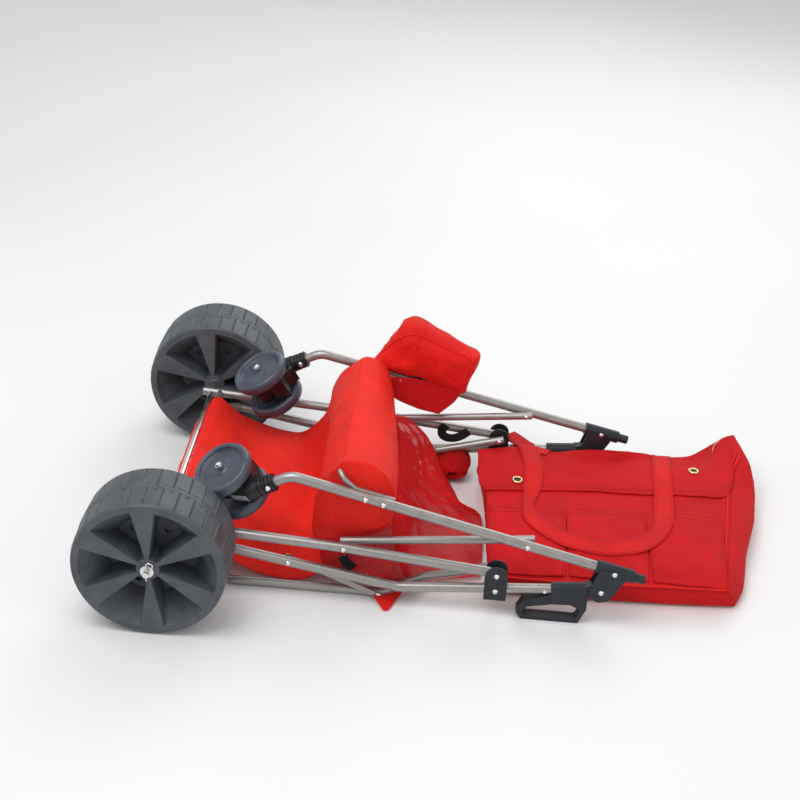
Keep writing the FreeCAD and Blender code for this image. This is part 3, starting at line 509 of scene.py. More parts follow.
def build_forks():
    """Moulded fork block between each pair of caster wheels, ribbed by the stem; blank label on the right."""
    high, wide, shift = 0.0228, 0.020, -0.010
    count, squareness, label_gap = 56, 8, 0.0006
    for side, _ in SIDES:
        axis = Vector(JOINTS["caster_spin_upper_" + side]["axis"]).normalized()
        centre = middle("caster_bolt_" + side)
        stem = middle("stem_collar_" + side) - centre
        stem = (stem - axis * stem.dot(axis)).normalized()
        depth = axis.cross(stem)
        points = []
        for s, share in FORK_PROFILE:
            for q in range(count):
                c, d = math.cos(2 * math.pi * q / count), math.sin(2 * math.pi * q / count)
                size = share / (abs(c) ** squareness + abs(d) ** squareness) ** (1 / squareness)
                points.append(centre + stem * s + axis * (high * c * size)
                              + depth * (shift + wide * d * size))
        block = piece("caster_fork_" + side, points, capped(len(FORK_PROFILE), count), BLACK)
        place(block, (0, 0, 1), (0, 0, 0))
        sharpen(block, 40)
        stands_for(block, "caster_" + side, "black_plastic")
        if side == "right":
            rows = []
            for s in np.linspace(0.008, 0.047, 16):
                rows.append([])
                for a in np.linspace(-0.0200, -0.0015, 10):
                    edge = max(1 - abs(a / high) ** squareness, 0) ** (1 / squareness)
                    spot = centre + stem * s + axis * a + depth * (shift - wide * edge - label_gap)
                    rows[-1].append(list(spot))
            label = sheet_of("blank_label", np.array(rows), FOIL, 0.0004)
            stands_for(label, "caster_right", "zinc_steel")


# ---------------------------------------------------------------- small parts
def build_foam():
    """Foam sleeve on the handle bar: a long tube with rounded, slightly swollen ends."""
    low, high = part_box("foam_grip")
    centre, length, outer = (low + high) / 2, (high.y - low.y) / 2, (high.z - low.z) / 2
    profile = [(outer - 0.004, -length), (outer - 0.0012, -length + 0.0008), (outer, -length + 0.004)]
    profile += [(outer - 0.0006 + 0.0004 * math.sin(1.7 * k),
                 -length + 0.014 + (2 * length - 0.028) * k / 40) for k in range(41)]
    profile += [(outer, length - 0.004), (outer - 0.0012, length - 0.0008), (outer - 0.004, length)]
    profile = [(0.0102, -length)] + profile + [(0.0102, length)]
    sleeve = turned(profile, 64, "foam_sleeve", FOAM, (0, 1, 0), centre)
    sharpen(sleeve, 50)
    stands_for(sleeve, "handle_frame", "foam", "foam_grip")


def build_webbing():
    """Two short black webbing ends that ride with the rear tubes, 6 and 31 mm off them at rest."""
    left = [(534, 247, 122), (526, 246, 108), (530, 245, 95), (546, 245, 90), (566, 246, 95), (586, 247, 110)]
    right = [(351, -239, 88), (356, -241, 78), (363, -241, 69), (373, -239, 62)]
    for side, route, length in (("left", left, 0.098), ("right", right, 0.036)):
        end = ribbon("webbing_" + side, [at(*p) for p in route], 0.020, WEB, (0, 1, 0))
        stands_for(end, "rear_frame", "black_plastic")


# ---------------------------------------------------------------- fabric helpers
def surface(rows, along, across):
    """Smooth grid of points through rows of control points: along the rows' order, across within a row."""
    lines = [spline(row, across) for row in rows]
    columns = [spline([line[c] for line in lines], along) for c in range(across)]
    return np.stack(columns, 1)


def metres(grid):
    """UVs of a grid of points: distance travelled along and across it, in metres."""
    steps_u = np.linalg.norm(np.diff(grid, axis=1), axis=2)
    steps_v = np.linalg.norm(np.diff(grid, axis=0), axis=2)
    u = np.concatenate([np.zeros((grid.shape[0], 1)), np.cumsum(steps_u, 1)], 1)
    v = np.concatenate([np.zeros((1, grid.shape[1])), np.cumsum(steps_v, 0)], 0)
    u, v = u.mean(0)[None].repeat(grid.shape[0], 0), v.mean(1)[:, None].repeat(grid.shape[1], 1)
    return np.stack([u, v], 2)


def crumple(grid, depth, scale, seed, edge=0.0):
    """Moves a grid along its normals by folded noise; edge fades it out towards the border."""
    du, dv = np.gradient(grid, axis=1), np.gradient(grid, axis=0)
    normal = np.cross(du, dv)
    normal /= np.linalg.norm(normal, axis=2, keepdims=True) + 1e-9
    rows, columns = grid.shape[:2]
    moved = grid.copy()
    for r in range(rows):
        for c in range(columns):
            p = grid[r, c]
            fold = 0.6 * ripple(p, scale, seed) + 0.4 * (1 - 2 * abs(ripple(p, scale * 1.9, seed + 5)))
            fold += 0.25 * ripple(p, scale * 4.3, seed + 9)
            rim = min(r, rows - 1 - r, c, columns - 1 - c) / (0.12 * min(rows, columns))
            moved[r, c] = p + normal[r, c] * depth * fold * (1 - edge * (1 - min(rim, 1)))
    return moved


def sheet_of(name, grid, look, thickness=0.0014):
    """Cloth with real thickness on a grid of points."""
    rows, columns = grid.shape[:2]
    made = piece(name, grid.reshape(-1, 3), quads(rows, columns), look, metres(grid).reshape(-1, 2))
    modify(made, "SOLIDIFY", thickness=thickness, offset=0.0)
    apply(made)
    made.data.shade_smooth()
    return made


def stations(rows):
    """Control rows from (station, y, z) in millimetres to points."""
    return [[at(*point) for point in row] for row in rows]


def between(first, second, share, y):
    """Row of (station, y, z) part of the way from one outline of (station, z) to another."""
    return [(a[0] + (b[0] - a[0]) * share, y, a[1] + (b[1] - a[1]) * share) for a, b in zip(first, second)]


def ribbon(name, path, width, look, sideways, samples=60, across=5, thickness=0.002):
    """Flat webbing of a width along a path, lying in the plane square to 'sideways'."""
    line = spline(path, samples)
    grid = np.zeros((samples, across, 3))
    for i, p in enumerate(line):
        ahead = Vector(line[min(i + 1, samples - 1)] - line[max(i - 1, 0)]).normalized()
        side = ahead.cross(Vector(sideways)).normalized()
        for c in range(across):
            grid[i, c] = Vector(p) + side * width * (c / (across - 1) - 0.5)
    return sheet_of(name, grid, look, thickness)


def stitching(name, lines, look, pitch=0.0048, length=0.0031, radius=0.00045, lift=0.0004):
    """Rows of small sewn stitches along lines of (point, normal)."""
    points, faces = [], []
    for line in lines:
        places = np.array([list(p) for p, _ in line])
        normals = np.array([list(n) for _, n in line])
        lengths = np.concatenate([[0], np.cumsum(np.linalg.norm(np.diff(places, axis=0), axis=1))])
        for k in range(int(lengths[-1] / pitch)):
            ends = []
            for d in (k * pitch, k * pitch + length):
                ends.append((np.array([np.interp(d, lengths, places[:, a]) for a in range(3)]),
                             np.array([np.interp(d, lengths, normals[:, a]) for a in range(3)])))
            ahead = Vector(ends[1][0] - ends[0][0])
            up = Vector(ends[0][1]).normalized()
            side = ahead.cross(up).normalized()
            base = len(points)
            for share, size, high in ((0, 0.45, 0.0), (0.25, 1, 0.6), (0.75, 1, 0.6), (1, 0.45, 0.0)):
                centre = Vector(ends[0][0]) + ahead * share + up * (lift + radius * high)
                for q in range(5):
                    a = 2 * math.pi * q / 5
                    points.append(centre + (side * math.cos(a) + up * math.sin(a)) * radius * size)
            faces += [tuple(base + corner for corner in face) for face in capped(4, 5)]
    return piece(name, points, faces, look)


def sewn_line(points, lift):
    """Line of (point, normal) for stitching, a little above the points."""
    return [(Vector(p) + Vector((0, 0, lift)), Vector((0, 0, 1))) for p in points]


# ---------------------------------------------------------------- sling
HALF = 222  # half the sling's width in millimetres


def sling_rows():
    """Sections of the sling, from the hem on the cross tube to the sling bar, at six places across."""
    far = [(20.5, 161), (29, 159), (38, 152), (71, 122), (128, 99), (185, 86), (222, 92), (262, 136),
           (275, 176), (281, 212), (300, 250), (338, 286)]
    mid = [(20.5, 161), (29, 159), (38, 153), (76, 131), (140, 104), (205, 78), (262, 55), (288, 82),
           (289, 140), (291, 200), (304, 252), (340, 293)]
    near = [(20.5, 161), (29, 159), (38, 152), (70, 112), (118, 52), (184, 16), (262, 9), (306, 44),
            (300, 126), (296, 196), (306, 250), (340, 294)]
    return [between(first, second, share, y) for y, first, second, share in (
        (-HALF, near, mid, 0), (-120, near, mid, 0.55), (0, mid, far, 0),
        (120, mid, far, 0.35), (180, mid, far, 0.75), (HALF, mid, far, 1))]


def build_sling():
    """Sling panel from its rear hem through the trough to the sling bar, its sleeve, flap and seam."""
    grid = surface(stations(sling_rows()), 90, 130)
    grid = crumple(grid, 0.0042, 9, 2.0, 0.55)
    sling = sheet_of("sling_panel", grid, RED_NYLON)
    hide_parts("sling_rear", "sling_front")
    centre = middle("rear_cross_tube")
    rows = []
    rings, around = 80, 25
    for r in range(rings):
        y = -HALF + 2 * HALF * r / (rings - 1)
        ring = []
        for q in range(around):
            a = math.radians(40 + 305 * q / (around - 1))
            radius = 0.0118 + 0.0008 * ripple((y / 1000, a, 0), 30, 7)
            ring.append((centre.x + radius * math.cos(a), y / 1000, centre.z + radius * math.sin(a)))
        rows.append(ring)
    sleeve = sheet_of("sling_sleeve", np.array(rows), RED_NYLON)
    flap_rows = [[(6, y, 152), (-3, y, 140), (-16, y - 4, 120), (-26, y - 6, 102)]
                 for y in (-180, -60, 60, 200)]
    flap = sheet_of("sling_flap", crumple(surface(stations(flap_rows), 50, 14), 0.003, 14, 4.0), RED_NYLON)
    normal = Vector((0.3, 0, 0.95))
    lines = [[(Vector(p) + normal * 0.0008, normal) for p in grid[:, column]] for column in (16, 18)]
    seam = stitching("sling_stitches", lines, THREAD)
    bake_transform(sling)
    for made in (sleeve, flap, seam):
        stands_for(made, "sling_back", "red_fabric")


HUMP_FAR = [(338, 286), (352, 291), (378, 284), (397, 262), (408, 228), (410, 185), (418, 150)]
HUMP_NEAR = [(340, 294), (356, 299), (384, 298), (412, 284), (436, 256), (447, 215), (440, 160)]


def build_hump():
    """Part of the sling gathered over the sling bar: crest, the panels that close its ends, and a hem."""
    rows = [between(HUMP_NEAR, HUMP_FAR, share, y)
            for y, share in ((-HALF, 0), (-130, 0.05), (0, 0.3), (120, 0.65), (HALF, 1))]
    grid = crumple(surface(stations(rows), 90, 60), 0.0035, 10, 6.0, 0.5)
    crest = sheet_of("hump_crest", grid, RED_NYLON)
    made = [crest]
    right = [(288, 190), (286, 140), (292, 112), (318, 112), (366, 128), (441, 161)]
    left = [(280, 205), (276, 178), (280, 150), (310, 138), (360, 142), (418, 151)]
    for side, y, border, lower in (("right", -HALF + 1, grid[0], right), ("left", HALF - 1, grid[-1], left)):
        high, long = 34, 40
        top, bottom = spline(border, long), spline([at(x, y, z) for x, z in lower], long)
        panel = np.stack([bottom + (top - bottom) * t for t in np.linspace(0, 1, high)])
        bulge = 0.010 if side == "right" else -0.006
        for r in range(high):
            arch = math.sin(math.pi * r / (high - 1))
            for c in range(long):
                panel[r, c, 1] -= bulge * arch * math.sin(math.pi * c / (long - 1))
                panel[r, c, 0] -= 0.012 * arch * (1 - c / (long - 1)) ** 4
        made.append(sheet_of("hump_end_" + side, crumple(panel, 0.0022, 14, 8.0, 1.0), RED_NYLON))
    hem = [at(x, -HALF - 1, z) for x, z in right[2:]]
    made.append(ribbon("hump_hem", hem, 0.011, RED, (0, -1, 0)))
    for one in made:
        stands_for(one, "front_frame", "red_fabric")
        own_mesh(one)
    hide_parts("sling_hump")


# ---------------------------------------------------------------- mesh net
NET_ROWS = [
    [(441, -222, 168), (456, -228, 100), (474, -222, 45), (508, -206, 16), (572, -180, 12), (628, -160, 9)],
    [(442, -150, 168), (459, -150, 104), (484, -150, 52), (528, -142, 24), (586, -124, 18), (630, -106, 9)],
    [(441, -60, 166), (460, -60, 112), (488, -60, 62), (530, -52, 34), (586, -40, 24), (630, -28, 9)],
    [(436, 40, 164), (456, 40, 120), (484, 40, 76), (522, 42, 50), (574, 54, 28), (622, 66, 9)],
    [(428, 130, 160), (450, 132, 130), (474, 134, 94), (500, 130, 62), (544, 122, 34), (578, 112, 9)],
    [(416, 218, 156), (444, 222, 150), (474, 224, 126), (500, 226, 88), (518, 228, 46), (534, 230, 9)]]
NET_SIDE = [
    [(300, -214, 104), (306, -222, 66), (316, -222, 32), (326, -214, 13)],
    [(330, -220, 113), (342, -227, 72), (356, -225, 32), (368, -214, 12)],
    [(378, -221, 131), (394, -230, 84), (412, -227, 36), (432, -214, 12)],
    [(452, -219, 160), (470, -229, 98), (492, -227, 44), (524, -212, 14)]]


def netting(name, grid, look, bar):
    """Knitted net on a grid of points: diamond holes with real edges."""
    rows, columns = grid.shape[:2]
    points, faces, keep = [], [], {}
    flat = metres(grid)
    uv = []

    def vertex(r, c):
        if (r, c) not in keep:
            keep[r, c] = len(points)
            points.append(grid[r, c])
            uv.append(flat[r, c])
        return keep[r, c]

    for r in range(1, rows - 1):
        for c in range(1, columns - 1):
            if (r + c) % 2:
                faces.append([vertex(r - 1, c), vertex(r, c + 1), vertex(r + 1, c), vertex(r, c - 1)])
    made = piece(name, points, faces, look, uv)
    modify(made, "WIREFRAME", thickness=bar, use_even_offset=True, use_boundary=True, offset=0.0)
    return apply(made)


def build_net():
    """Net that hangs from the sling to 7 mm above the floor, its gathered end, hem, skirt and tip."""
    grid = surface(stations(NET_ROWS), 150, 78)
    grid = crumple(grid, 0.006, 12, 11.0, 0.2)
    grid[:, :, 2] = np.maximum(grid[:, :, 2], 0.0022)
    net = netting("net_sheet", grid, NET, 0.0021)
    side = crumple(surface(stations(NET_SIDE), 60, 50), 0.004, 16, 4.0, 0.3)
    flank = netting("net_side", side, NET, 0.0023)
    rows = []
    centre = at(556, 222, 30)
    rings, around = 34, 80
    for r in range(rings):
        ring = []
        spread = r / (rings - 1)
        for q in range(around + 1):
            a = 2 * math.pi * q / around
            pleat = 0.0045 * ripple((math.cos(a), math.sin(a), spread * 0.5), 2.6, 2.0)
            pleat *= min(spread * 1.6, 1)
            radius = 0.003 + 0.037 * math.sin(spread * math.pi * 0.62) ** 0.8
            ring.append(centre + Vector((math.cos(a) * (radius + pleat),
                                         0.030 - 0.075 * spread * spread + 0.4 * pleat,
                                         math.sin(a) * (radius + pleat) * 0.72)))
        rows.append(ring)
    bundle = np.array(rows)
    bundle[:, :, 1] = 2 * centre.y - bundle[:, :, 1]
    end = netting("net_gather", bundle, NET, 0.0019)
    # Core inside the gathered net end: the inner layers of net, coloured dark red as painted shade.
    shaded_core = sheet_of("net_shaded_core", np.array(centre) + (bundle - np.array(centre)) * 0.88, RED_PAINTED_SHADE)
    top = [Vector(grid[r, 0]) for r in range(0, 150, 6)]
    hem = ribbon("net_hem", top, 0.013, RED, (-0.2, 0, 1), 120)
    skirt_rows = [[(392, 232, 243), (398, 229, 212), (420, 226, 190), (470, 222, 172)],
                  [(470, 232, 241), (472, 229, 212), (478, 226, 188), (492, 222, 168)],
                  [(560, 232, 217), (550, 229, 196), (532, 226, 178), (516, 222, 164)]]
    skirt = sheet_of("pouch_skirt", crumple(surface(stations(skirt_rows), 40, 24), 0.002, 16, 3.0), RED)
    tip_rows = [[(405, -236, 16), (421, -262, 8), (440, -292, 3)],
                [(440, -236, 14), (446, -256, 7), (446, -290, 3)],
                [(474, -236, 12), (466, -250, 7), (450, -288, 3)]]
    tip = sheet_of("sling_tip", surface(stations(tip_rows), 22, 18), RED_NYLON)
    for one in (net, end, flank, shaded_core, hem, tip):
        stands_for(one, "front_frame", "red_fabric" if one in (hem, tip) else "red_mesh")
        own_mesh(one)
    stands_for(skirt, "front_frame", "red_fabric")
    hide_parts("mesh_net")


# ---------------------------------------------------------------- side pouch
def build_pouch():
    """Fabric pouch on the left front tube: a soft crowned bag with a welt along its flap."""
    low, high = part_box("side_pouch")
    outline = [(364, 262), (380, 288), (404, 330), (424, 362), (440, 373), (458, 374), (500, 352),
               (556, 322), (592, 304), (594, 296), (584, 256), (574, 216), (566, 212), (500, 228),
               (430, 246), (372, 258)]
    around, layers, steps = 160, 26, 15
    ring = spline([at(x, 0, z) for x, z in outline], around, True)
    centre = ring.mean(0)
    rows = []
    for layer in range(layers):
        share = layer / (layers - 1)
        y = low.y + 0.003 + (high.y - low.y - 0.006) * share
        swell = 0.86 + 0.14 * math.sin(math.pi * share) ** 0.45
        rows.append([(centre[0] + (p[0] - centre[0]) * swell, y, centre[2] + (p[2] - centre[2]) * swell)
                     for p in ring])
    points, faces = [tuple(p) for row in rows for p in row], quads(layers, around, False, True)
    for first, side in ((0, -1), (layers - 1, 1)):
        previous = [first * around + k for k in range(around)]
        for step in range(1, steps):
            share = 1 - step / steps
            crown = 0.011 * (1 - share ** 2.2)
            fresh = [len(points) + k for k in range(around)]
            points += [(centre[0] + (p[0] - centre[0]) * share, p[1] + side * crown,
                        centre[2] + (p[2] - centre[2]) * share) for p in rows[first]]
            for k in range(around):
                n = (k + 1) % around
                quad = (previous[k], previous[n], fresh[n], fresh[k])
                faces.append(quad if side > 0 else quad[::-1])
            previous = fresh
        faces.append(tuple(previous) if side > 0 else tuple(previous[::-1]))
    made = piece("pouch_bag", points, faces, RED)
    place(made, (0, 0, 1), (0, 0, 0))
    modify(made, "REMESH", mode="VOXEL", voxel_size=0.0045)
    apply(made)
    inflate(made, pressure=0.9, cap=0.006)
    modify(made, "SUBSURF", levels=1, render_levels=1)
    apply(made)
    normals = [v.normal.copy() for v in made.data.vertices]
    for v, n in zip(made.data.vertices, normals):
        p = v.co
        dent = 0.0042 * (1 - 2 * abs(ripple((p.x + 0.4 * p.z, p.y * 0.7, p.z * 0.6), 15, 1.0)))
        dent += 0.0022 * ripple(p, 34, 5.0)
        pull = math.exp(-((p.x - at(430, 0, 0).x) / 0.05) ** 2)
        dent -= 0.004 * pull * abs(ripple((p.x * 2.2, p.y, p.z * 0.5), 24, 9.0))
        v.co = p + n * dent
    made.data.materials.clear()
    made.data.materials.append(RED_FREE)
    made.data.shade_smooth()
    stands_for(made, "front_frame", "red_fabric", "side_pouch")
    tree = height_field([made])
    seam = [(372, 244, 300), (404, 236, 326), (452, 232, 352), (520, 232, 324), (588, 240, 290)]
    nearest = [tree.find_nearest(Vector(p)) for p in spline([at(*p) for p in seam], 120)]
    welt = piping("pouch_welt", [hit[0] + hit[1] * 0.0006 for hit in nearest], 0.0016, RED_FREE)
    stands_for(welt, "front_frame", "red_fabric")


def inflate(made, pressure, cap):
    """Short pressure simulation that rounds a bag; no point moves further than the cap."""
    start = np.array([v.co for v in made.data.vertices])
    cloth_modifier = modify(made, "CLOTH")
    settings = cloth_modifier.settings
    settings.quality = 4
    settings.mass = 0.3
    settings.use_pressure = True
    settings.uniform_pressure_force = pressure
    settings.effector_weights.gravity = 0
    settings.tension_stiffness = 12
    settings.bending_stiffness = 1.5
    scene = bpy.context.scene
    last_frame = 16
    cloth_modifier.point_cache.frame_start = 1
    cloth_modifier.point_cache.frame_end = last_frame
    for step in range(1, last_frame + 1):
        scene.frame_set(step)
    apply(made)
    scene.frame_set(1)
    for v, p in zip(made.data.vertices, start):
        move = np.array(v.co) - p
        far = np.linalg.norm(move)
        if far > cap:
            v.co = p + move * cap / far


def height_field(objects):
    """Search tree over the faces of several pieces."""
    points, faces = [], []
    for made in objects:
        base = len(points)
        points += [made.matrix_world @ v.co for v in made.data.vertices]
        faces += [tuple(base + i for i in f.vertices) for f in made.data.polygons]
    return BVHTree.FromPolygons(points, faces)


def piping(name, path, radius, look, sides=8):
    """Thin round cord sewn along a path, with closed ends."""
    path = [Vector(p) for p in path]
    points = []
    for i, p in enumerate(path):
        ahead = (path[min(i + 1, len(path) - 1)] - path[max(i - 1, 0)]).normalized()
        side = ahead.orthogonal().normalized() if i == 0 else (side - ahead * side.dot(ahead)).normalized()
        up = ahead.cross(side)
        for q in range(sides):
            a = 2 * math.pi * q / sides
            points.append(p + (side * math.cos(a) + up * math.sin(a)) * radius)
    return piece(name, points, capped(len(path), sides), look)


# ---------------------------------------------------------------- tote bag
TOTE_TOP = [
    [(646, -206, 44), (785, -210, 48), (945, -204, 50), (1060, -198, 50), (1124, -190, 48)],
    [(640, -150, 60), (788, -152, 64), (950, -146, 66), (1065, -140, 64), (1130, -132, 60)],
    [(637, -70, 68), (792, -70, 74), (958, -66, 75), (1072, -58, 73), (1142, -50, 66)],
    [(634, 10, 72), (796, 10, 79), (968, 14, 80), (1080, 24, 78), (1154, 34, 68)],
    [(630, 90, 76), (794, 96, 82), (974, 100, 82), (1088, 112, 82), (1166, 122, 74)],
    [(620, 160, 78), (790, 170, 82), (980, 178, 83), (1094, 190, 84), (1182, 204, 82)],
    [(615, 196, 77), (746, 212, 74), (884, 220, 78), (980, 228, 77), (1090, 240, 77), (1148, 258, 84),
     (1206, 266, 96)],
    [(612, 222, 76), (700, 245, 78), (784, 244, 72), (850, 243, 86), (930, 243, 91), (978, 258, 82),
     (1020, 262, 72), (1084, 270, 74), (1130, 300, 84), (1174, 336, 95), (1196, 346, 98)]]
TOTE_BACK = [
    [(646, -203, 26), (785, -206, 27), (945, -200, 28), (1060, -194, 28), (1134, -186, 26)],
    [(648, -198, 5), (785, -200, 5), (945, -194, 5), (1060, -188, 5), (1146, -180, 5)],
    [(644, -150, 3), (788, -150, 3), (950, -145, 3), (1065, -138, 3), (1160, -130, 3)],
    [(640, -30, 3), (796, -30, 3), (965, -26, 3), (1080, -20, 3), (1186, -10, 3)],
    [(632, 110, 3), (794, 116, 3), (974, 120, 3), (1090, 132, 3), (1204, 142, 3)],
    [(622, 208, 3), (788, 222, 4), (960, 232, 5), (1092, 244, 4), (1202, 268, 3)]]


def over(tree, path, lift):
    """Points of a path laid on the surfaces below them, with their upward normals."""
    laid = []
    for p in path:
        hit = tree.ray_cast(Vector((p[0], p[1], 0.2)), Vector((0, 0, -1)))
        if not hit[0]:
            hit = tree.find_nearest(Vector((p[0], p[1], 0.06)))
        z, normal = hit[0].z, hit[1] if abs(hit[1].z) > 0.2 else Vector((0, 0, 1))
        laid.append((Vector((p[0], p[1], z + lift)), normal if normal.z > 0 else -normal))
    return laid


def patch(name, base, outline_rows, lift, rows, columns, belly, thickness, seed):
    """Cloth patch laid on the bag: a grid over a plan outline, dropped on what is below, slightly bellied."""
    plan = surface([[at(x, y, 0) for x, y in row] for row in outline_rows], rows, columns)
    grid = plan.copy()
    for r in range(rows):
        laid = over(base, plan[r], lift)
        for c in range(columns):
            share = math.sin(math.pi * r / (rows - 1)) * math.sin(math.pi * c / (columns - 1))
            grid[r, c] = laid[c][0]
            grid[r, c, 2] += belly * share + 0.0012 * ripple(grid[r, c], 24, seed)
    return grid, sheet_of(name, grid, RED, thickness)


def strap(name, base, path, width, lift, twist=lambda share: 1.0):
    """Webbing handle lying over whatever is below it, and the two lines for stitches along it."""
    samples = 150
    line = spline([at(x, y, 84) for x, y in path], samples)
    grid = np.zeros((samples, 9, 3))
    for i in range(samples):
        ahead = Vector(line[min(i + 1, samples - 1)] - line[max(i - 1, 0)])
        ahead.z = 0
        side = Vector((ahead.y, -ahead.x, 0)).normalized()
        share = i / (samples - 1)
        wide = width * twist(share)
        row = [Vector(line[i]) + side * wide * (c / 8 - 0.5) for c in range(9)]
        laid = over(base, row, lift)
        for c in range(9):
            grid[i, c] = laid[c][0]
    heights = grid[:, :, 2]
    for _ in range(14):
        ease = heights.copy()
        ease[1:-1] = (heights[:-2] + heights[1:-1] + heights[2:]) / 3
        ease[:, 1:-1] = (ease[:, :-2] + ease[:, 1:-1] + ease[:, 2:]) / 3
        heights = np.maximum(ease, grid[:, :, 2])
    for i in range(samples):
        for c in range(9):
            edge = abs(c / 8 - 0.5) * 2
            heights[i, c] += 0.0009 * ripple(grid[i, c], 18, 4) + 0.0004 * (1 - edge ** 4)
    grid[:, :, 2] = heights
    return sheet_of(name, grid, STRAP, 0.0026), [sewn_line(grid[:, c], 0.0012) for c in (1, 7)]


GROMMET = [(0.0070, -0.001), (0.0072, 0.0014), (0.0082, 0.0026), (0.0096, 0.0029), (0.0110, 0.0022),
           (0.0119, 0.0010), (0.0120, -0.0002)]
# Black disc filling each grommet's ring: painted shade standing for the dark hole.
GROMMET_HOLE_SHADE = [(0.0001, -0.0004), (0.0070, -0.0004), (0.0070, 0.0002), (0.0001, 0.0002)]


def build_tote():
    """Tote bag on its back: shell, gussets, flap, three pockets, piping, straps, grommets, stitching."""
    across, long = 130, 60
    top = surface(stations(TOTE_TOP), 96, across)
    back = surface(stations(TOTE_BACK), long, across)
    top = crumple(top, 0.0042, 8, 21.0, 0.25)
    whole = np.concatenate([back[::-1], top], 0)
    shell = sheet_of("tote_shell", whole, RED, 0.0018)
    seam_row = len(back)
    gussets = []
    for side, column, bulge in (("left", 0, 0.006), ("right", across - 1, 0.034)):
        rows = []
        lower = [Vector(whole[seam_row - 1 - int(k * (len(back) - 1) / (long - 1)), column])
                 for k in range(long)]
        upper = [Vector(whole[seam_row + int(k * (len(top) - 1) / (long - 1)), column]) for k in range(long)]
        for t in np.linspace(0, 1, 22):
            line = []
            for k in range(long):
                span = k / (long - 1)
                p = lower[k].lerp(upper[k], t)
                arch = math.sin(math.pi * t)
                swell = bulge * arch ** 0.8 * min(span * 8, 1, (1 - span) * 7) * (0.5 + 0.5 * span)
                fold = 0.006 * math.sin(9 * span + 5 * t) * arch * min(span * 3, 1)
                line.append(p + Vector((swell + fold, -0.012 * arch * span, 0)))
            rows.append(line)
        grid = crumple(np.array([[list(p) for p in line] for line in rows]), 0.0025, 15, 30.0, 0.6)
        grid[:, :, 2] = np.maximum(grid[:, :, 2], 0.0015)
        gussets.append(sheet_of("tote_gusset_" + side, grid, RED, 0.0016))
    base = height_field([shell])
    flap_grid, flap = patch("tote_flap", base, [
        [(630, 58), (790, 74), (975, 84), (1088, 96), (1150, 112), (1176, 168)],
        [(614, 96), (792, 120), (978, 130), (1092, 142), (1160, 160), (1180, 190)],
        [(610, 222), (700, 245), (784, 243), (850, 242), (930, 242), (978, 257), (1020, 261), (1084, 269),
         (1130, 299), (1184, 338)]], 0.0026, 60, 130, 0.0012, 0.0022, 2.0)
    bases = height_field([shell, flap])
    pockets, pocket_grids = [], []
    for index, (left, right) in enumerate(((642, 797), (803, 965), (971, 1128))):
        tilt, centre = (left - 642) * 0.10, (left + right) / 2
        grid, made = patch("tote_pocket_%d" % index, bases, [
            [(left + 4, -200 + tilt * 0.2), (centre, -202 + tilt * 0.2), (right, -197 + tilt * 0.2)],
            [(left, -90), (centre, -88), (right + 2, -84)],
            [(left - 2, 8 + tilt * 0.55), (centre, 10 + tilt * 0.6), (right + 6, 16 + tilt * 0.6)]],
            0.0024, 60, 56, 0.006, 0.0016, 5.0 + index)
        pockets.append(made)
        pocket_grids.append(grid)
    surfaces = height_field([shell, flap] + pockets)
    band, sewn = strap("tote_strap_loop", surfaces, [
        (716, 262), (728, 214), (734, 150), (730, 80), (722, 20), (726, -30), (752, -72), (800, -104),
        (866, -122), (926, -112), (974, -80), (1000, -34), (1010, 30), (1014, 110), (1018, 190),
        (1024, 262)], 0.042, 0.0018, lambda share: 1 - 0.42 * math.exp(-((share - 0.27) / 0.05) ** 2))
    under, _ = strap("tote_strap_back", surfaces,
                     [(678, 300), (694, 284), (716, 262), (744, 246), (770, 236)], 0.040, 0.0016)
    straps = [band, under]
    lines = sewn + [sewn_line(flap_grid[r], 0.0015) for r in (3, 6, 54, 57)]
    for grid in pocket_grids:
        lines += [sewn_line(grid[r], 0.0011) for r in (52, 56)]
        lines += [sewn_line(grid[:, c], 0.0011) for c in (2, 53)]
    sewing = stitching("tote_stitches", lines, THREAD)
    right_edge = [Vector(whole[seam_row + k, 127]) + Vector((0, 0, 0.0022)) for k in range(84)]
    second = [p + Vector((-0.0085, 0, 0.0004)) for p in right_edge]
    bottom_edge = [Vector(whole[seam_row, c]) + Vector((0, -0.0008, 0.0016)) for c in range(across)]
    cords = [piping(name, path, radius, RED_FREE) for name, path, radius in (
        ("tote_piping_0", right_edge, 0.0021), ("tote_piping_1", second, 0.0016),
        ("tote_piping_2", bottom_edge, 0.0021), ("tote_lip", whole[-1], 0.0019))]
    rings = []
    low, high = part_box("tote_grommets")
    holes = [(low.x + 0.012, low.y + 0.012), (high.x - 0.012, high.y - 0.012)]
    for index, (x, y) in enumerate(holes):
        spot = over(height_field([shell, flap]), [(x, y, 0.08)], 0.0012)[0]
        rings.append(turned(GROMMET, 48, "tote_grommet_%d" % index, BRASS, spot[1], spot[0]))
        # Black disc inside the grommet: painted shade for its hole.
        rings.append(turned(GROMMET_HOLE_SHADE, 32, "tote_hole_shade_%d" % index, BLACK, spot[1], spot[0]))
    loose = spline([at(1140, 277, 91), at(1143, 290, 95), at(1150, 305, 97), at(1163, 322, 96)], 30)
    cords.append(piping("tote_loose_thread", loose, 0.0006, PALE, 6))
    for made in [shell, flap, sewing] + gussets + pockets + straps + cords:
        stands_for(made, "tote", "red_fabric")
    for made in rings:
        stands_for(made, "tote", "brass")
    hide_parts("tote_bag")
    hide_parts("tote_grommets")
    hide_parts("tote_handle")


# ---------------------------------------------------------------- camera, lights and floor
# Soft lamps: name, place in metres, power in watts, width in metres; each looks at the origin.
LAMPS = (("key", (-1.2, -1.0, 3.2), 58, 2.2), ("back", (0.8, 3.0, 2.4), 38, 2.4),
         ("fill", (3.0, -1.8, 1.8), 14, 2.0))
FLOOR_HALF = 14


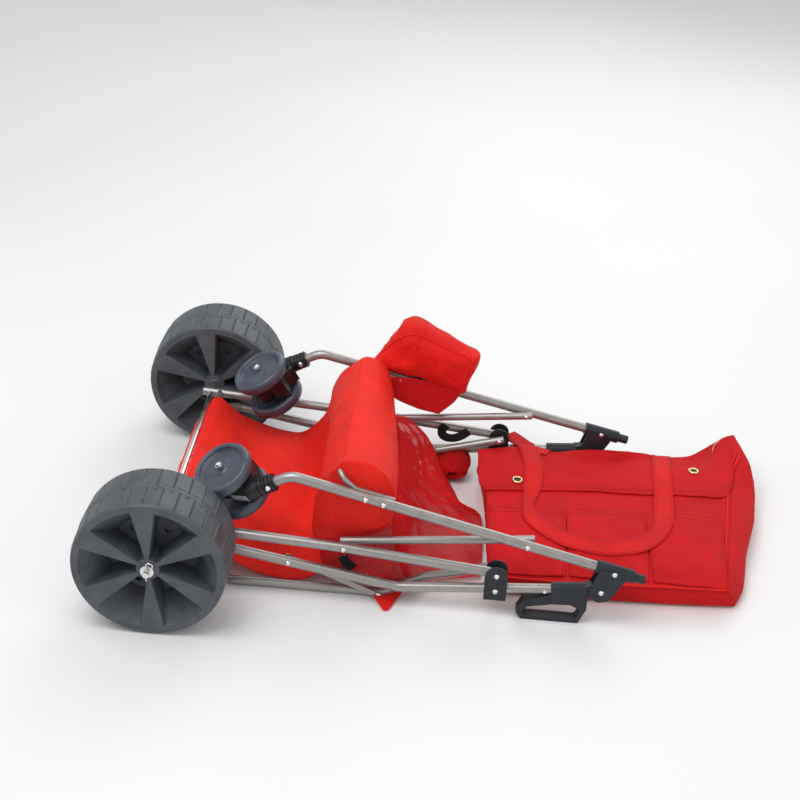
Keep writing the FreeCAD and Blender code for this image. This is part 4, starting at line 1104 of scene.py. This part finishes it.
def build_stage():
    """Pale floor, soft studio light and a camera at the photograph's angle."""
    corners = [(FLOOR_HALF * x, FLOOR_HALF * y, 0) for x, y in ((-1, -1), (1, -1), (1, 1), (-1, 1))]
    floor = piece("floor", corners, [(0, 1, 2, 3)], None)
    made = Nodes("floor_look", (0.81, 0.815, 0.82), 0.55)
    made.vary(made.noise(made.place(), 0.7, 2), 0.5, 0.6, ((0.795, 0.80, 0.805), (0.825, 0.83, 0.835)))
    floor.data.materials[0] = made.material

    camera = bpy.data.objects.new("camera", bpy.data.cameras.new("camera"))
    camera.data.sensor_width, camera.data.lens = 36, 67.58
    camera.data.clip_end = 60
    right, up, ahead = (Vector((0.99622, 0.06676, 0.05566)), Vector((-0.08140, 0.49212, 0.86671)),
                        Vector((-0.03047, 0.86796, -0.49569)))
    camera.matrix_world = Matrix((right, up, -ahead)).transposed().to_4x4()
    camera.location = (-0.00524, -2.66506, 1.83981)
    bpy.context.scene.collection.objects.link(camera)
    bpy.context.scene.camera = camera

    world = bpy.data.worlds.new("studio")
    world.use_nodes = True
    world.node_tree.nodes["Background"].inputs["Color"].default_value = (1.0, 1.0, 1.0, 1)
    world.node_tree.nodes["Background"].inputs["Strength"].default_value = 0.66
    bpy.context.scene.world = world
    bpy.context.scene.view_settings.view_transform = "Standard"
    for name, place_at, power, width in LAMPS:
        lamp = bpy.data.lights.new(name, "AREA")
        lamp.energy = power
        lamp.size = width
        lamp_object = bpy.data.objects.new(name, lamp)
        lamp_object.location = place_at
        lamp_object.rotation_mode = "QUATERNION"
        lamp_object.rotation_quaternion = (-Vector(place_at)).to_track_quat("-Z", "Y")
        bpy.context.scene.collection.objects.link(lamp_object)


def dress_cad_nodes():
    """Gives every carried-over CAD node its procedural material, by its slot in the record."""
    looks = {entry["node"]: CAD_LOOKS[entry["material_slot"]] for entry in RECORD["subparts"]}
    for name, node in frame["nodes"].items():
        node.data.materials.clear()
        node.data.materials.append(looks[name])
        node.data.shade_smooth()
        node.data.set_sharp_from_angle(angle=math.radians(32))


dress_cad_nodes()
build_rear_wheels()
build_casters()
build_forks()
build_foam()
build_webbing()
build_sling()
build_hump()
build_net()
build_pouch()
build_tote()
build_stage()
